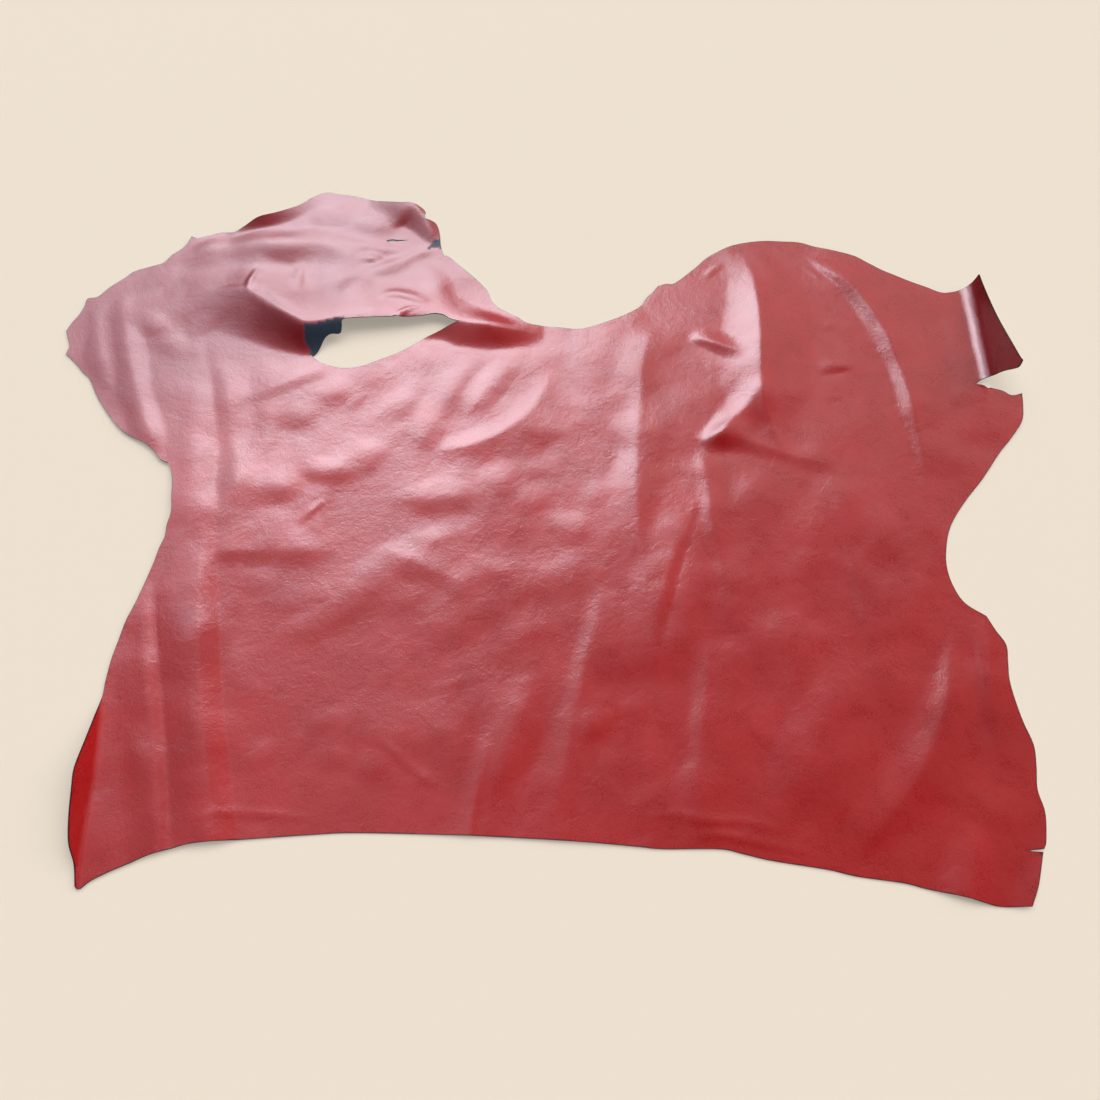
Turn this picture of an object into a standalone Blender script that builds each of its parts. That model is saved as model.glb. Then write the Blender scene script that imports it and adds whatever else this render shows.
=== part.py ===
"""Leather hide: one cut double shoulder of red cowhide, lying grain side up with its folds.

The sheet is described as the flat cut first: an outline, a hole and a small tear, in centimetres.
Each fold is then a short row of sections along its crest, and the two free margins are rolled up
along bend lines. The underside touches the floor exactly where no fold lifts it.
X runs along the hide's width, Y away from the viewer, Z up.
"""

from collections import namedtuple

import bpy
import numpy as np
from mathutils import Vector
from mathutils.geometry import delaunay_2d_cdt

CM = 0.01
MM = 0.001

THICKNESS = 2.0 * MM
CONTACT_DEPTH = 0.6 * MM
EDGE_STEP = 1.9 * CM
CELL_SIZE = 5.2 * CM
CELL_HALVINGS = 2
CELL_TOLERANCE = 0.8 * MM
EDGE_CLEARANCE = 0.6 * CM
PROBE = 1.0 * MM
CURVE_STEPS = 12
WIDE_REACH = 10.5
WELD_DISTANCE = 1.0e-7
BASE_COLOUR = (0.38, 0.035, 0.03, 1.0)
ROUGHNESS = 0.42

# The cut edge, clockwise from the left tip. A new stretch starts at each sharp corner. Columns: x, y in cm.
EDGE_STRETCHES = {
    "left_lobe_side": [
        (-79.6, 40.0), (-79.0, 41.8), (-78.2, 43.4), (-77.7, 45.2), (-77.5, 46.8), (-75.9, 47.2),
        (-74.2, 49.3), (-72.1, 51.3), (-70.8, 52.7), (-68.0, 53.8), (-66.0, 54.6), (-65.0, 56.2),
        (-63.6, 57.5), (-62.7, 59.0)],
    "nub": [(-62.3, 60.5), (-61.2, 60.0)],
    "lobe_far_side": [
        (-61.2, 60.0), (-59.4, 60.6), (-57.2, 61.4), (-55.0, 61.4), (-53.4, 62.4), (-51.1, 63.9),
        (-47.9, 65.3), (-44.5, 67.3), (-42.0, 69.5), (-39.9, 70.8), (-37.3, 70.5), (-35.0, 70.1),
        (-33.0, 69.5), (-30.8, 68.5)],
    "raised_corner": [
        (-30.8, 68.5), (-28.8, 67.9), (-26.2, 67.2), (-24.4, 67.0), (-23.0, 66.4), (-22.0, 65.5),
        (-21.8, 64.6), (-22.0, 63.8)],
    "lobe_right_side": [
        (-21.2, 63.6), (-20.2, 63.4), (-19.6, 62.4), (-19.1, 60.3), (-18.9, 58.6), (-18.3, 56.3),
        (-17.4, 55.9), (-15.2, 53.6), (-12.8, 51.2), (-10.7, 48.7), (-9.7, 46.2), (-8.7, 44.9)],
    "neck": [
        (-8.7, 44.9), (-6.8, 43.7), (-5.2, 42.7), (-3.8, 41.4), (-1.0, 40.9), (2.0, 40.6),
        (4.8, 40.4), (7.6, 41.1), (10.5, 42.3), (13.7, 44.0), (15.4, 45.4)],
    "dome": [
        (15.4, 45.4), (16.2, 46.9), (17.4, 48.2), (18.2, 49.4), (19.6, 50.0), (21.2, 50.2),
        (24.7, 53.4), (26.7, 55.5), (28.9, 57.0), (32.0, 58.5), (36.5, 59.4), (40.2, 59.4),
        (43.2, 59.2), (46.0, 58.1), (51.6, 56.2), (54.4, 54.3), (56.7, 52.6), (60.0, 50.8),
        (63.3, 49.1), (65.6, 47.9), (67.5, 48.0), (69.2, 48.5), (71.0, 49.0), (72.9, 49.5)],
    "flap_outer": [(72.9, 49.5), (73.6, 44.0), (74.7, 37.5), (76.2, 30.4), (76.7, 28.7)],
    "flap_lower": [
        (76.7, 28.7), (75.7, 28.1), (74.2, 28.7), (73.0, 29.3), (71.5, 29.8), (70.0, 30.1),
        (68.8, 29.9), (67.8, 29.2)],
    "slit_lower": [(67.8, 29.2), (70.0, 28.5), (71.8, 27.9), (73.1, 27.0), (74.8, 27.4)],
    "right_wing": [
        (74.8, 27.4), (74.5, 25.2), (73.7, 22.2), (71.5, 19.2), (69.3, 16.7), (67.0, 13.7),
        (65.2, 11.4), (62.4, 8.2), (60.0, 5.0), (58.7, 2.6), (57.9, 0.0), (57.5, -2.6),
        (57.8, -5.5), (59.0, -8.4), (61.7, -10.5)],
    "right_side": [
        (61.7, -10.5), (62.6, -12.7), (63.6, -14.8), (63.3, -17.4), (62.9, -20.0), (63.1, -23.0),
        (63.6, -26.0), (64.3, -29.0), (64.0, -32.0), (63.5, -34.8), (63.8, -37.8), (63.1, -41.3)],
    "nick": [(62.6, -42.3), (60.6, -42.5), (62.4, -42.7)],
    "right_corner": [(62.4, -42.7), (61.6, -44.8), (60.7, -47.0), (59.5, -49.2)],
    "near_side": [
        (59.5, -49.2), (56.0, -49.2), (53.6, -48.7), (51.0, -48.0), (47.0, -47.1), (44.2, -46.4),
        (38.5, -45.6), (35.0, -44.8), (28.0, -43.7), (24.5, -42.9), (21.5, -42.3), (14.5, -42.3),
        (11.0, -42.0), (5.0, -41.5), (-5.0, -40.9), (-15.0, -40.5), (-25.0, -40.3), (-30.0, -40.5),
        (-40.0, -41.2), (-45.5, -41.7), (-48.0, -42.3), (-50.8, -43.1), (-53.1, -44.1),
        (-55.4, -45.1), (-57.5, -46.2), (-58.7, -47.2)],
    "left_strip": [
        (-59.3, -46.8), (-60.0, -44.2), (-61.3, -41.8), (-62.1, -38.5), (-62.6, -35.0),
        (-62.8, -32.5), (-62.2, -29.0), (-61.5, -25.2), (-61.0, -22.6), (-60.9, -20.0)],
    "left_side": [
        (-60.9, -20.0), (-60.7, -16.8), (-60.3, -14.2), (-59.8, -11.3), (-59.0, -8.7), (-58.2, -5.2),
        (-57.5, -2.0), (-57.1, 0.2), (-56.6, 2.0), (-56.6, 3.9), (-56.3, 6.1), (-56.7, 8.7),
        (-57.0, 11.0), (-57.6, 13.3), (-58.2, 14.5)],
    "left_lobe_underside": [
        (-58.2, 14.5), (-59.6, 15.2), (-61.2, 17.0), (-63.0, 18.4), (-65.0, 19.4), (-66.8, 20.7),
        (-68.7, 22.7), (-70.7, 25.3), (-72.1, 27.4), (-73.7, 30.3), (-75.2, 31.8), (-76.7, 33.5),
        (-78.6, 35.3)],
    "left_tip": [(-78.6, 35.3), (-78.4, 36.8), (-79.0, 38.4)],
}

# The hole's edge, from its right end along the arch and back along the floor. Columns: x, y in cm.
HOLE_STRETCHES = {
    "arch": [
        (-14.9, 40.9), (-16.2, 41.3), (-17.6, 42.2), (-19.1, 42.4), (-20.8, 42.0), (-23.2, 41.6),
        (-26.5, 41.3), (-30.2, 40.9), (-33.5, 40.5)],
    "tongue": [
        (-33.8, 39.6), (-34.1, 38.5), (-35.6, 38.3), (-36.6, 37.6), (-37.3, 36.4), (-38.0, 35.3)],
    "floor": [
        (-38.6, 34.8), (-37.0, 33.5), (-35.2, 32.8), (-33.4, 32.4), (-31.4, 32.5), (-29.6, 33.0),
        (-27.4, 34.1), (-25.5, 35.0), (-23.4, 36.2), (-21.6, 37.6), (-19.8, 38.8), (-17.3, 40.0)],
}

TEAR_EDGE = [(-28.4, 59.4), (-27.5, 59.8), (-26.4, 59.7), (-24.6, 59.7), (-26.4, 59.4), (-27.5, 59.1)]

# A fold's crest from end to end. Columns: x, y in cm, rise in mm, reach to the left and right in cm.
# crest is 1 for a sharp crest and 2 for a round one, foot is 1 for a sharp foot and 2 for a soft one.
# A negative rise is a groove.
Fold = namedtuple("Fold", "name crest foot sections")

FOLDS = [
    Fold("arch_at_hole", 1.35, 1.6, [
        (-70.0, 45.0, 0, 5.0, 4.0), (-63.5, 46.4, 3, 6.0, 7.5), (-57.3, 47.4, 6, 7.0, 9.0),
        (-50.6, 47.2, 12, 9.0, 9.4), (-46.0, 43.8, 15, 10.4, 7.4), (-41.8, 40.8, 17, 10.6, 5.4),
        (-38.9, 39.5, 17, 10.6, 4.5), (-33.4, 40.7, 14, 10.0, 4.4), (-26.5, 41.4, 11, 9.0, 4.2),
        (-19.1, 42.4, 9, 7.6, 4.4), (-14.9, 41.0, 12, 6.0, 4.4), (-9.8, 40.2, 15, 4.6, 4.2),
        (-5.5, 39.8, 9, 3.6, 3.6), (-1.0, 39.8, 0, 3.0, 3.0)]),
    Fold("lobe_puff", 1.5, 1.7, [
        (-61.0, 47.6, 0, 12.0, 8.0), (-55.0, 47.6, 4, 14.0, 8.6), (-50.6, 47.2, 8, 16.0, 9.0),
        (-46.0, 43.8, 11, 19.0, 7.4), (-41.8, 40.8, 12, 21.0, 5.4), (-38.9, 39.5, 12, 22.0, 4.5),
        (-33.4, 40.7, 11, 21.0, 4.4), (-26.5, 41.4, 9, 17.0, 4.2), (-19.1, 42.4, 6, 12.0, 4.4),
        (-14.9, 41.0, 4, 8.0, 4.4), (-9.8, 40.2, 0, 5.0, 4.2)]),
    Fold("lobe_back_ridge", 1.6, 1.8, [
        (-63.0, 55.0, 0, 3.0, 3.0), (-57.5, 56.8, 4, 4.0, 4.5), (-51.4, 58.0, 8, 4.5, 5.2),
        (-45.5, 58.2, 9, 4.5, 5.4), (-40.0, 58.4, 7, 4.5, 5.0), (-35.6, 56.8, 4, 4.0, 4.0),
        (-32.0, 54.2, 0, 3.0, 3.0)]),
    Fold("lobe_far_margin", 1.3, 1.5, [
        (-56.5, 61.4, 0, 2.0, 2.0), (-53.2, 63.2, 8, 3.0, 2.2), (-50.4, 64.8, 14, 3.0, 2.8),
        (-47.0, 66.6, 9, 3.0, 3.2), (-43.5, 69.0, 4, 3.0, 3.4), (-39.0, 71.0, 0, 3.0, 3.0)]),
    Fold("raised_corner", 1.5, 1.6, [
        (-32.0, 69.6, 0, 2.0, 3.0), (-28.4, 68.4, 8, 3.0, 4.6), (-25.0, 67.2, 14, 3.0, 5.6),
        (-22.6, 65.2, 12, 2.0, 4.2), (-20.9, 61.6, 7, 2.0, 2.6), (-20.4, 58.8, 0, 1.5, 1.5)]),
    Fold("lobe_wrinkle_far", 1.5, 1.7, [
        (-36.5, 59.4, 0, 1.8, 2.0), (-31.5, 58.0, 2.4, 2.2, 2.0), (-27.4, 57.2, 2.4, 2.2, 1.8),
        (-24.0, 57.4, 0, 1.8, 1.6)]),
    Fold("lobe_wrinkle_middle", 1.5, 1.7, [
        (-32.0, 51.6, 0, 2.0, 2.2), (-28.4, 52.8, 2.8, 2.4, 2.4), (-25.2, 54.6, 3, 2.4, 2.2),
        (-22.2, 56.6, 2.4, 2.2, 1.8), (-19.8, 57.6, 0, 1.6, 1.5)]),
    Fold("lobe_wrinkle_near", 1.2, 1.5, [
        (-28.6, 45.6, 0, 1.6, 1.2), (-26.0, 46.7, 3.6, 2.0, 1.4), (-23.0, 45.9, 3.6, 2.0, 1.3),
        (-19.6, 44.6, 0, 1.4, 1.2)]),
    Fold("left_margin_outer", 1.7, 1.6, [
        (-76.0, 47.0, 0, 2.4, 2.6), (-75.0, 41.5, 2.2, 2.6, 3.0), (-73.6, 37.0, 2.4, 2.6, 3.0),
        (-72.0, 32.5, 2, 2.4, 2.6), (-70.6, 28.0, 0, 2.0, 2.0)]),
    Fold("left_margin_inner", 1.6, 1.7, [
        (-72.4, 50.0, 0, 3.0, 3.0), (-70.8, 43.5, 2.4, 3.0, 3.4), (-69.0, 37.5, 3.4, 3.0, 3.6),
        (-67.4, 33.0, 3.2, 3.0, 3.4), (-65.8, 28.0, 3, 2.8, 3.2), (-63.8, 23.4, 4, 2.8, 3.2),
        (-62.0, 19.6, 3, 2.6, 2.6), (-60.0, 16.4, 0, 2.0, 2.0)]),
    Fold("left_shoulder_swell", 1.8, 1.9, [
        (-62.0, 36.0, 0, 8.0, 10.0), (-57.0, 24.0, 3, 9.0, 12.0), (-53.0, 10.0, 4, 8.0, 13.0),
        (-50.0, -5.0, 5, 7.0, 13.0), (-48.0, -18.0, 6, 9.0, 13.0), (-45.6, -30.0, 6, 10.0, 13.0),
        (-43.6, -42.0, 5, 10.0, 12.0)]),
    Fold("left_shoulder_crease", 1.0, 1.7, [
        (-57.6, 42.0, 0, 3.4, 4.0), (-55.6, 35.0, -1, 4.6, 4.6), (-53.5, 28.0, -1.8, 5.0, 5.0),
        (-50.8, 14.0, -2.2, 5.4, 5.0), (-48.6, 0.0, -2.8, 6.0, 4.6), (-46.5, -12.0, -4.0, 7.6, 4.0),
        (-44.0, -25.0, -4.8, 8.4, 4.0), (-41.2, -36.0, -4.2, 8.0, 4.0), (-39.4, -42.0, -3.0, 7.0, 3.6)]),
    Fold("crease_right_shoulder", 1.7, 1.6, [
        (-54.0, 37.0, 0, 4.0, 2.4), (-51.0, 27.0, 1.2, 4.0, 2.4), (-48.6, 18.0, 1.4, 4.0, 2.4),
        (-46.6, 8.0, 1, 4.5, 2.6), (-44.6, -2.0, 0, 4.5, 2.6)]),
    Fold("corner_crease", 1.0, 1.7, [
        (-57.6, -2.0, 0, 2.4, 1.2), (-56.5, -8.0, -1.0, 3.4, 1.5), (-54.8, -15.0, -2.0, 4.4, 1.8),
        (-52.2, -25.0, -2.6, 5.0, 2.0), (-50.0, -34.0, -2.6, 5.0, 2.0), (-48.2, -42.0, -1.8, 4.4, 1.8)]),
    Fold("under_hole", 1.4, 1.6, [
        (-50.5, 26.6, 0, 3.4, 2.4), (-46.0, 27.8, 1.2, 4.0, 2.4), (-42.0, 29.6, 2, 4.0, 2.4),
        (-38.6, 31.4, 2, 3.6, 2.4), (-35.4, 32.2, 0, 2.5, 2.0)]),
    Fold("streak_by_hole", 1.6, 1.7, [
        (-12.2, 35.0, 0, 2.6, 3.0), (-14.2, 30.5, 1.8, 3.2, 3.6), (-17.0, 24.8, 2, 3.6, 3.6),
        (-19.6, 19.0, 2.0, 3.4, 3.0), (-21.5, 14.0, 0, 3.0, 3.0)]),
    Fold("streak_right_of_it", 1.6, 1.7, [
        (-6.0, 33.4, 0, 2.4, 2.6), (-8.6, 30.2, 2, 3.0, 3.4), (-11.2, 26.4, 2, 3.0, 3.2),
        (-13.4, 22.8, 0, 2.4, 2.6)]),
    Fold("bright_crescent", 1.15, 1.8, [
        (0.4, 32.0, 0, 5.0, 2.6), (-1.2, 27.6, 2.0, 7.0, 3.0), (-3.8, 23.4, 3.0, 8.0, 3.2),
        (-7.6, 20.0, 3.2, 7.0, 3.2), (-12.0, 17.9, 3.0, 5.0, 3.2), (-15.6, 17.2, 1.6, 4.0, 2.8),
        (-18.6, 16.4, 0, 3.0, 2.4)]),
    Fold("ripple_upper", 1.6, 1.8, [
        (-51.0, 10.2, 0, 3.6, 3.6), (-47.4, 10.4, 2.2, 4.4, 4.0), (-43.0, 10.6, 2.2, 4.4, 4.0),
        (-39.4, 11.0, 1.2, 3.8, 3.4), (-36.6, 11.6, 0, 3.0, 2.8)]),
    Fold("ripple_lower", 1.4, 1.8, [
        (-49.6, -0.6, 0, 4.2, 2.8), (-46.5, -0.4, 2.4, 5.0, 2.8), (-42.0, -0.2, 2.0, 4.8, 3.0),
        (-37.0, -0.2, 1.2, 4.2, 3.0), (-32.5, -0.8, 0, 3.4, 2.8)]),
    Fold("lozenge", 1.6, 1.7, [
        (-26.0, 6.6, 0, 2.6, 2.4), (-22.4, 8.0, 1.3, 3.4, 3.6), (-17.4, 8.8, 1.5, 3.6, 4.0),
        (-12.6, 8.8, 0.8, 3.4, 3.4), (-9.6, 8.6, 0, 3.0, 3.0)]),
    Fold("crescent", 1.4, 1.7, [
        (-25.0, 1.0, 0, 2.6, 2.6), (-21.8, -1.2, 1.7, 3.4, 3.2), (-18.0, -3.0, 2.0, 3.6, 3.4),
        (-14.4, -4.6, 1.4, 3.2, 3.2), (-11.0, -6.2, 0, 2.8, 3.0)]),
    Fold("swell_right_of_middle", 1.15, 1.9, [
        (17.0, 41.0, 0, 6.0, 4.0), (15.2, 34.0, 2.6, 7.4, 5.0), (14.2, 26.0, 4, 8.0, 5.6),
        (13.4, 17.0, 4.4, 8.0, 5.6), (13.0, 9.0, 3.8, 7.4, 5.0), (13.2, 1.0, 2.2, 6.0, 4.4),
        (13.8, -6.0, 0, 4.5, 4.0)]),
    Fold("dome_left_ridge", 1.1, 1.9, [
        (32.6, 57.0, 0, 6.0, 3.6), (34.2, 52.0, 4, 10.0, 5.4), (34.5, 46.0, 9.6, 12.4, 6.4),
        (34.3, 40.0, 12, 12.0, 7.0), (33.9, 34.0, 11.4, 10.4, 7.2), (33.6, 28.0, 10, 8.4, 6.6),
        (34.0, 22.5, 6, 6.0, 5.4), (35.4, 18.5, 2, 4.0, 3.8), (36.4, 15.6, 0, 3.0, 2.8)]),
    Fold("dome_left_branch", 1.2, 1.7, [
        (34.0, 30.0, 0, 4.0, 3.0), (31.6, 26.0, 4.6, 4.6, 3.6), (28.8, 22.4, 7.4, 4.2, 3.4),
        (26.0, 19.6, 7, 3.4, 2.6), (23.0, 18.0, 0, 2.4, 2.0)]),
    Fold("dome_near_fold", 1.4, 1.6, [
        (24.0, 18.6, 0, 2.6, 2.2), (27.6, 19.2, 4.2, 4.0, 2.8), (32.0, 18.0, 3.8, 4.4, 2.8),
        (36.6, 16.2, 2.6, 4.2, 2.5), (40.6, 15.0, 1.4, 3.6, 2.3), (44.0, 14.4, 0, 2.4, 2.0)]),
    Fold("dome_pinch", 1.2, 1.5, [
        (22.8, 38.8, 0, 2.2, 1.4), (25.4, 37.9, 4.4, 3.0, 1.7), (28.4, 36.6, 4.2, 3.0, 2.2),
        (31.6, 35.2, 0, 2.4, 2.2)]),
    Fold("dome_right_ridge", 1.2, 1.8, [
        (44.5, 56.0, 0, 4.0, 2.2), (48.8, 52.0, 3.4, 7.6, 2.6), (52.2, 46.4, 6.2, 10.0, 3.0),
        (54.6, 40.4, 7.4, 11.6, 3.2), (56.0, 34.0, 7.2, 12.0, 3.2), (56.8, 28.0, 6.4, 11.6, 3.2),
        (57.2, 22.0, 5.0, 10.0, 3.0), (57.2, 15.0, 3.4, 8.0, 3.0), (56.6, 8.0, 2, 6.0, 2.8),
        (55.8, 2.0, 0, 4.0, 2.6)]),
    Fold("flap_root_swell", 1.9, 1.9, [
        (67.0, 49.0, 0, 3.0, 3.4), (67.0, 41.0, 2, 3.6, 3.0), (66.6, 33.0, 2.2, 3.6, 3.0),
        (66.4, 25.0, 2, 4.0, 4.0), (65.4, 18.0, 0, 3.4, 3.4)]),
    Fold("narrow_line_right", 1.2, 1.7, [
        (42.4, 16.0, 0, 3.0, 1.6), (43.4, 6.0, 0.9, 4.4, 1.7), (44.2, -4.0, 1.1, 4.8, 1.8),
        (44.9, -13.0, 1.1, 4.8, 1.8), (46.0, -21.0, 0.9, 4.4, 1.8), (48.0, -27.0, 0, 3.0, 1.6)]),
    Fold("narrow_line_middle", 1.3, 1.6, [
        (23.2, 18.0, 0, 2.4, 1.6), (23.6, 12.0, 1.8, 3.2, 1.8), (24.0, 6.0, 2.2, 3.4, 1.9),
        (24.5, 0.0, 1.8, 3.4, 1.9), (25.2, -6.0, 1.2, 3.2, 1.8), (26.0, -11.0, 0, 2.4, 1.6)]),
    Fold("glint_swell", 1.8, 1.9, [
        (21.0, 12.0, 0, 5.0, 4.0), (19.4, 4.0, 3, 7.0, 5.0), (17.4, -4.0, 4.4, 8.0, 6.0),
        (15.8, -11.0, 3.4, 7.0, 6.0), (14.6, -19.0, 0, 5.0, 5.0)]),
    Fold("glint_crease", 1.0, 1.6, [
        (23.4, 10.0, 0, 1.6, 1.0), (21.2, 3.6, -1, 2.6, 1.2), (19.2, -1.6, -2.2, 3.4, 1.4),
        (17.6, -7.0, -2.6, 3.8, 1.5), (16.2, -12.0, -1.6, 3.6, 1.4), (15.0, -17.0, 0, 2.6, 1.2)]),
    Fold("near_swell_1", 1.2, 1.8, [
        (7.6, -6.0, 0, 4.6, 2.0), (6.6, -11.0, 1.8, 7.0, 2.6), (5.0, -17.0, 2.8, 9.0, 3.2),
        (3.4, -24.0, 3.2, 10.0, 4.2), (2.0, -31.0, 2.6, 9.4, 5.0), (0.6, -37.0, 1.4, 7.0, 5.0),
        (-1.0, -41.5, 0, 4.0, 4.0)]),
    Fold("near_swell_2", 1.5, 1.8, [
        (22.6, -14.0, 0, 5.0, 2.4), (21.8, -19.0, 2.4, 7.4, 3.0), (20.8, -25.5, 3.8, 8.6, 3.8),
        (19.8, -32.0, 3.6, 8.4, 4.2), (18.8, -38.0, 2.2, 7.0, 4.4), (17.8, -43.0, 1, 5.4, 4.4)]),
    Fold("near_swell_3", 1.5, 1.8, [
        (42.0, -15.0, 0, 6.0, 3.4), (39.6, -21.0, 2.2, 8.4, 4.4), (36.8, -27.0, 3.6, 9.4, 5.4),
        (33.4, -32.5, 3.2, 8.4, 5.6), (30.0, -37.5, 2, 6.6, 5.0), (27.6, -42.5, 0, 4.6, 4.4)]),
    Fold("near_big_ridge", 1.15, 1.8, [
        (57.0, -8.0, 0, 3.4, 2.0), (56.2, -14.0, 3, 6.4, 2.8), (54.6, -20.5, 6, 9.0, 4.0),
        (52.0, -27.0, 8, 10.6, 5.4), (48.8, -32.4, 7.4, 10.4, 6.4), (45.0, -37.0, 4.6, 8.6, 6.4),
        (41.0, -41.0, 2, 6.6, 5.4), (37.4, -44.8, 0, 4.6, 4.0)]),
    Fold("right_margin", 1.4, 1.7, [
        (60.6, -10.0, 0, 2.0, 1.6), (60.2, -15.5, 2.6, 3.0, 1.8), (59.8, -22.0, 3, 3.2, 2.0),
        (60.0, -28.0, 2.6, 3.2, 2.4), (60.6, -34.0, 0, 3.0, 2.6)]),
    Fold("corner_patch", 1.4, 1.6, [
        (54.6, -39.0, 0, 2.4, 2.4), (53.4, -43.6, 4, 3.4, 4.0), (52.0, -49.0, 6, 4.0, 4.6)]),
    Fold("corner_lift", 1.2, 1.8, [
        (65.0, -42.6, 3, 3.0, 3.4), (61.6, -47.4, 7, 3.0, 4.4), (57.6, -51.2, 3, 3.0, 3.6)]),
    Fold("near_swell_0", 1.7, 1.8, [
        (-1.0, -17.0, 0, 4.0, 3.0), (-3.6, -24.0, 2, 4.4, 4.0), (-6.0, -30.0, 3, 4.4, 4.2),
        (-8.0, -36.0, 2, 4.2, 4.2), (-9.0, -41.5, 0, 4.0, 4.0)]),
]

# A margin rolled up past a bend line. side is 1 when it rolls to the right and -1 to the left.
# line rows: x, y in cm. radius in cm, lift in degrees. above: x, y, slope of the slit that frees it.
Curl = namedtuple("Curl", "name side line radius lift above")
CURLS = [
    Curl("flap", 1, [(67.7, 27.0), (67.8, 33.0), (68.1, 41.0), (68.4, 53.0)], 3.0, 71.0, (67.8, 29.0, -0.185)),
    Curl("left_strip", -1, [(-58.7, -49.0), (-59.1, -40.0), (-59.4, -33.0), (-60.2, -25.0), (-61.2, -18.5)],
         0.6, 57.0, None),
]


def smooth_line(rows, steps):
    """Catmull-Rom line through the rows, every column carried along."""
    rows = np.asarray(rows, dtype=float)
    padded = np.vstack([2 * rows[0] - rows[1], rows, 2 * rows[-1] - rows[-2]])
    pieces = []
    for i in range(1, len(padded) - 2):
        before, start, end, after = padded[i - 1:i + 3]
        t = np.linspace(0.0, 1.0, steps, endpoint=False)[:, None]
        pieces.append(0.5 * (2 * start + (end - before) * t
                             + (2 * before - 5 * start + 4 * end - after) * t ** 2
                             + (3 * start - before - 3 * end + after) * t ** 3))
    pieces.append(rows[-1:])
    return np.vstack(pieces)


def closed_edge(stretches, step):
    """One closed ring of points, smooth inside each stretch and evenly spaced."""
    ring = []
    rows = list(stretches.values())
    for i, stretch in enumerate(rows):
        following = rows[(i + 1) % len(rows)][0]
        line = list(stretch)
        if line[-1] != following:
            line.append(following)
        curve = smooth_line(line, CURVE_STEPS) * CM if len(line) > 2 else np.array(line) * CM
        lengths = np.concatenate([[0.0], np.cumsum(np.linalg.norm(np.diff(curve, axis=0), axis=1))])
        count = max(1, int(round(lengths[-1] / step)))
        stops = np.linspace(0.0, lengths[-1], count + 1)[:-1]
        ring.append(np.stack([np.interp(stops, lengths, curve[:, k]) for k in (0, 1)], axis=1))
    return np.vstack(ring)


def nearest_crest(line, x, y):
    """Distance from a fold's crest, positive on its left, and the rise and reaches beside it."""
    best = np.full(x.shape, np.inf)
    values = np.zeros((3,) + x.shape)
    side = np.zeros(x.shape)
    for start, end in zip(line[:-1], line[1:]):
        along = end[:2] - start[:2]
        rx, ry = x - start[0], y - start[1]
        t = np.clip((rx * along[0] + ry * along[1]) / (along @ along), 0.0, 1.0)
        distance = np.hypot(rx - t * along[0], ry - t * along[1])
        nearer = distance < best
        best[nearer] = distance[nearer]
        side[nearer] = (along[0] * ry - along[1] * rx)[nearer]
        for k in range(3):
            values[k][nearer] = start[k + 2] + t[nearer] * (end[k + 2] - start[k + 2])
    return np.where(side > 0, best, -best), values


def straight_across(line, x, y):
    """The same for a wide fold, measured straight over its run so that a bend leaves no seam."""
    run = int(np.ptp(line[:, 1]) > np.ptp(line[:, 0]))
    forward = line[-1, run] > line[0, run]
    ordered = line[np.argsort(line[:, run])]
    here, over = (y, x) if run else (x, y)
    offset = over - np.interp(here, ordered[:, run], ordered[:, 1 - run])
    values = [np.interp(here, ordered[:, run], ordered[:, k]) for k in (2, 3, 4)]
    return np.where(forward == bool(run), -offset, offset), values


def fold_rise(fold, x, y):
    """Height that one fold adds at flat points, in metres."""
    wide = max(row[3] for row in fold.sections) > WIDE_REACH
    line = smooth_line(fold.sections, CURVE_STEPS)
    line[:, 2] *= MM
    line[:, [0, 1, 3, 4]] *= CM
    farthest = line[:, 3:5].max()
    rise = np.zeros(x.shape)
    close = (x > line[:, 0].min() - farthest) & (x < line[:, 0].max() + farthest)
    close &= (y > line[:, 1].min() - farthest) & (y < line[:, 1].max() + farthest)
    offset, (height, left, right) = (straight_across if wide else nearest_crest)(line, x[close], y[close])
    reach = np.where(offset > 0, left, right)
    part = np.clip(np.abs(offset) / np.maximum(reach, MM), 0.0, 1.0)
    rise[close] = height * (1.0 - part ** fold.crest) ** fold.foot
    return rise


def lift(x, y):
    """Height of the underside over the floor before the margins are rolled up."""
    total = sum(fold_rise(fold, x, y) for fold in FOLDS)
    return np.maximum(total - CONTACT_DEPTH, 0.0)


def roll_up(curl, x, y, shift, z):
    """Roll the part of the sheet past a curl's bend line round its radius and up."""
    line = np.array(curl.line) * CM
    bend_x = np.interp(y, line[:, 1], line[:, 0])
    past = curl.side * (x - bend_x)
    if curl.above is not None:
        corner_x, corner_y, slope = curl.above
        cut_y = corner_y * CM + slope * (x - corner_x * CM)
        past = np.where(y > cut_y, past, 0.0)
    radius = curl.radius * CM
    angle = np.radians(curl.lift)
    beside = (y > line[0, 1]) & (y < line[-1, 1])
    past = np.where(beside, np.maximum(past, 0.0), 0.0)
    turned = np.minimum(past / radius, angle)
    straight = past - turned * radius
    reach = radius * np.sin(turned) + straight * np.cos(angle)
    rise = radius * (1.0 - np.cos(turned)) + straight * np.sin(angle)
    return shift + curl.side * (reach - past), z + rise


def underside(x, y):
    """Where a flat point of the sheet's underside lies once the hide is down on the floor."""
    z = lift(x, y)
    shift = np.zeros_like(x)
    for curl in CURLS:
        shift, z = roll_up(curl, x, y, shift, z)
    return np.stack([x + shift, y, z], axis=-1)


def upward(x, y):
    """Unit normals on the grain side."""
    across = underside(x + PROBE, y) - underside(x - PROBE, y)
    along = underside(x, y + PROBE) - underside(x, y - PROBE)
    normal = np.cross(across, along)
    return normal / np.linalg.norm(normal, axis=-1, keepdims=True)


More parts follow.
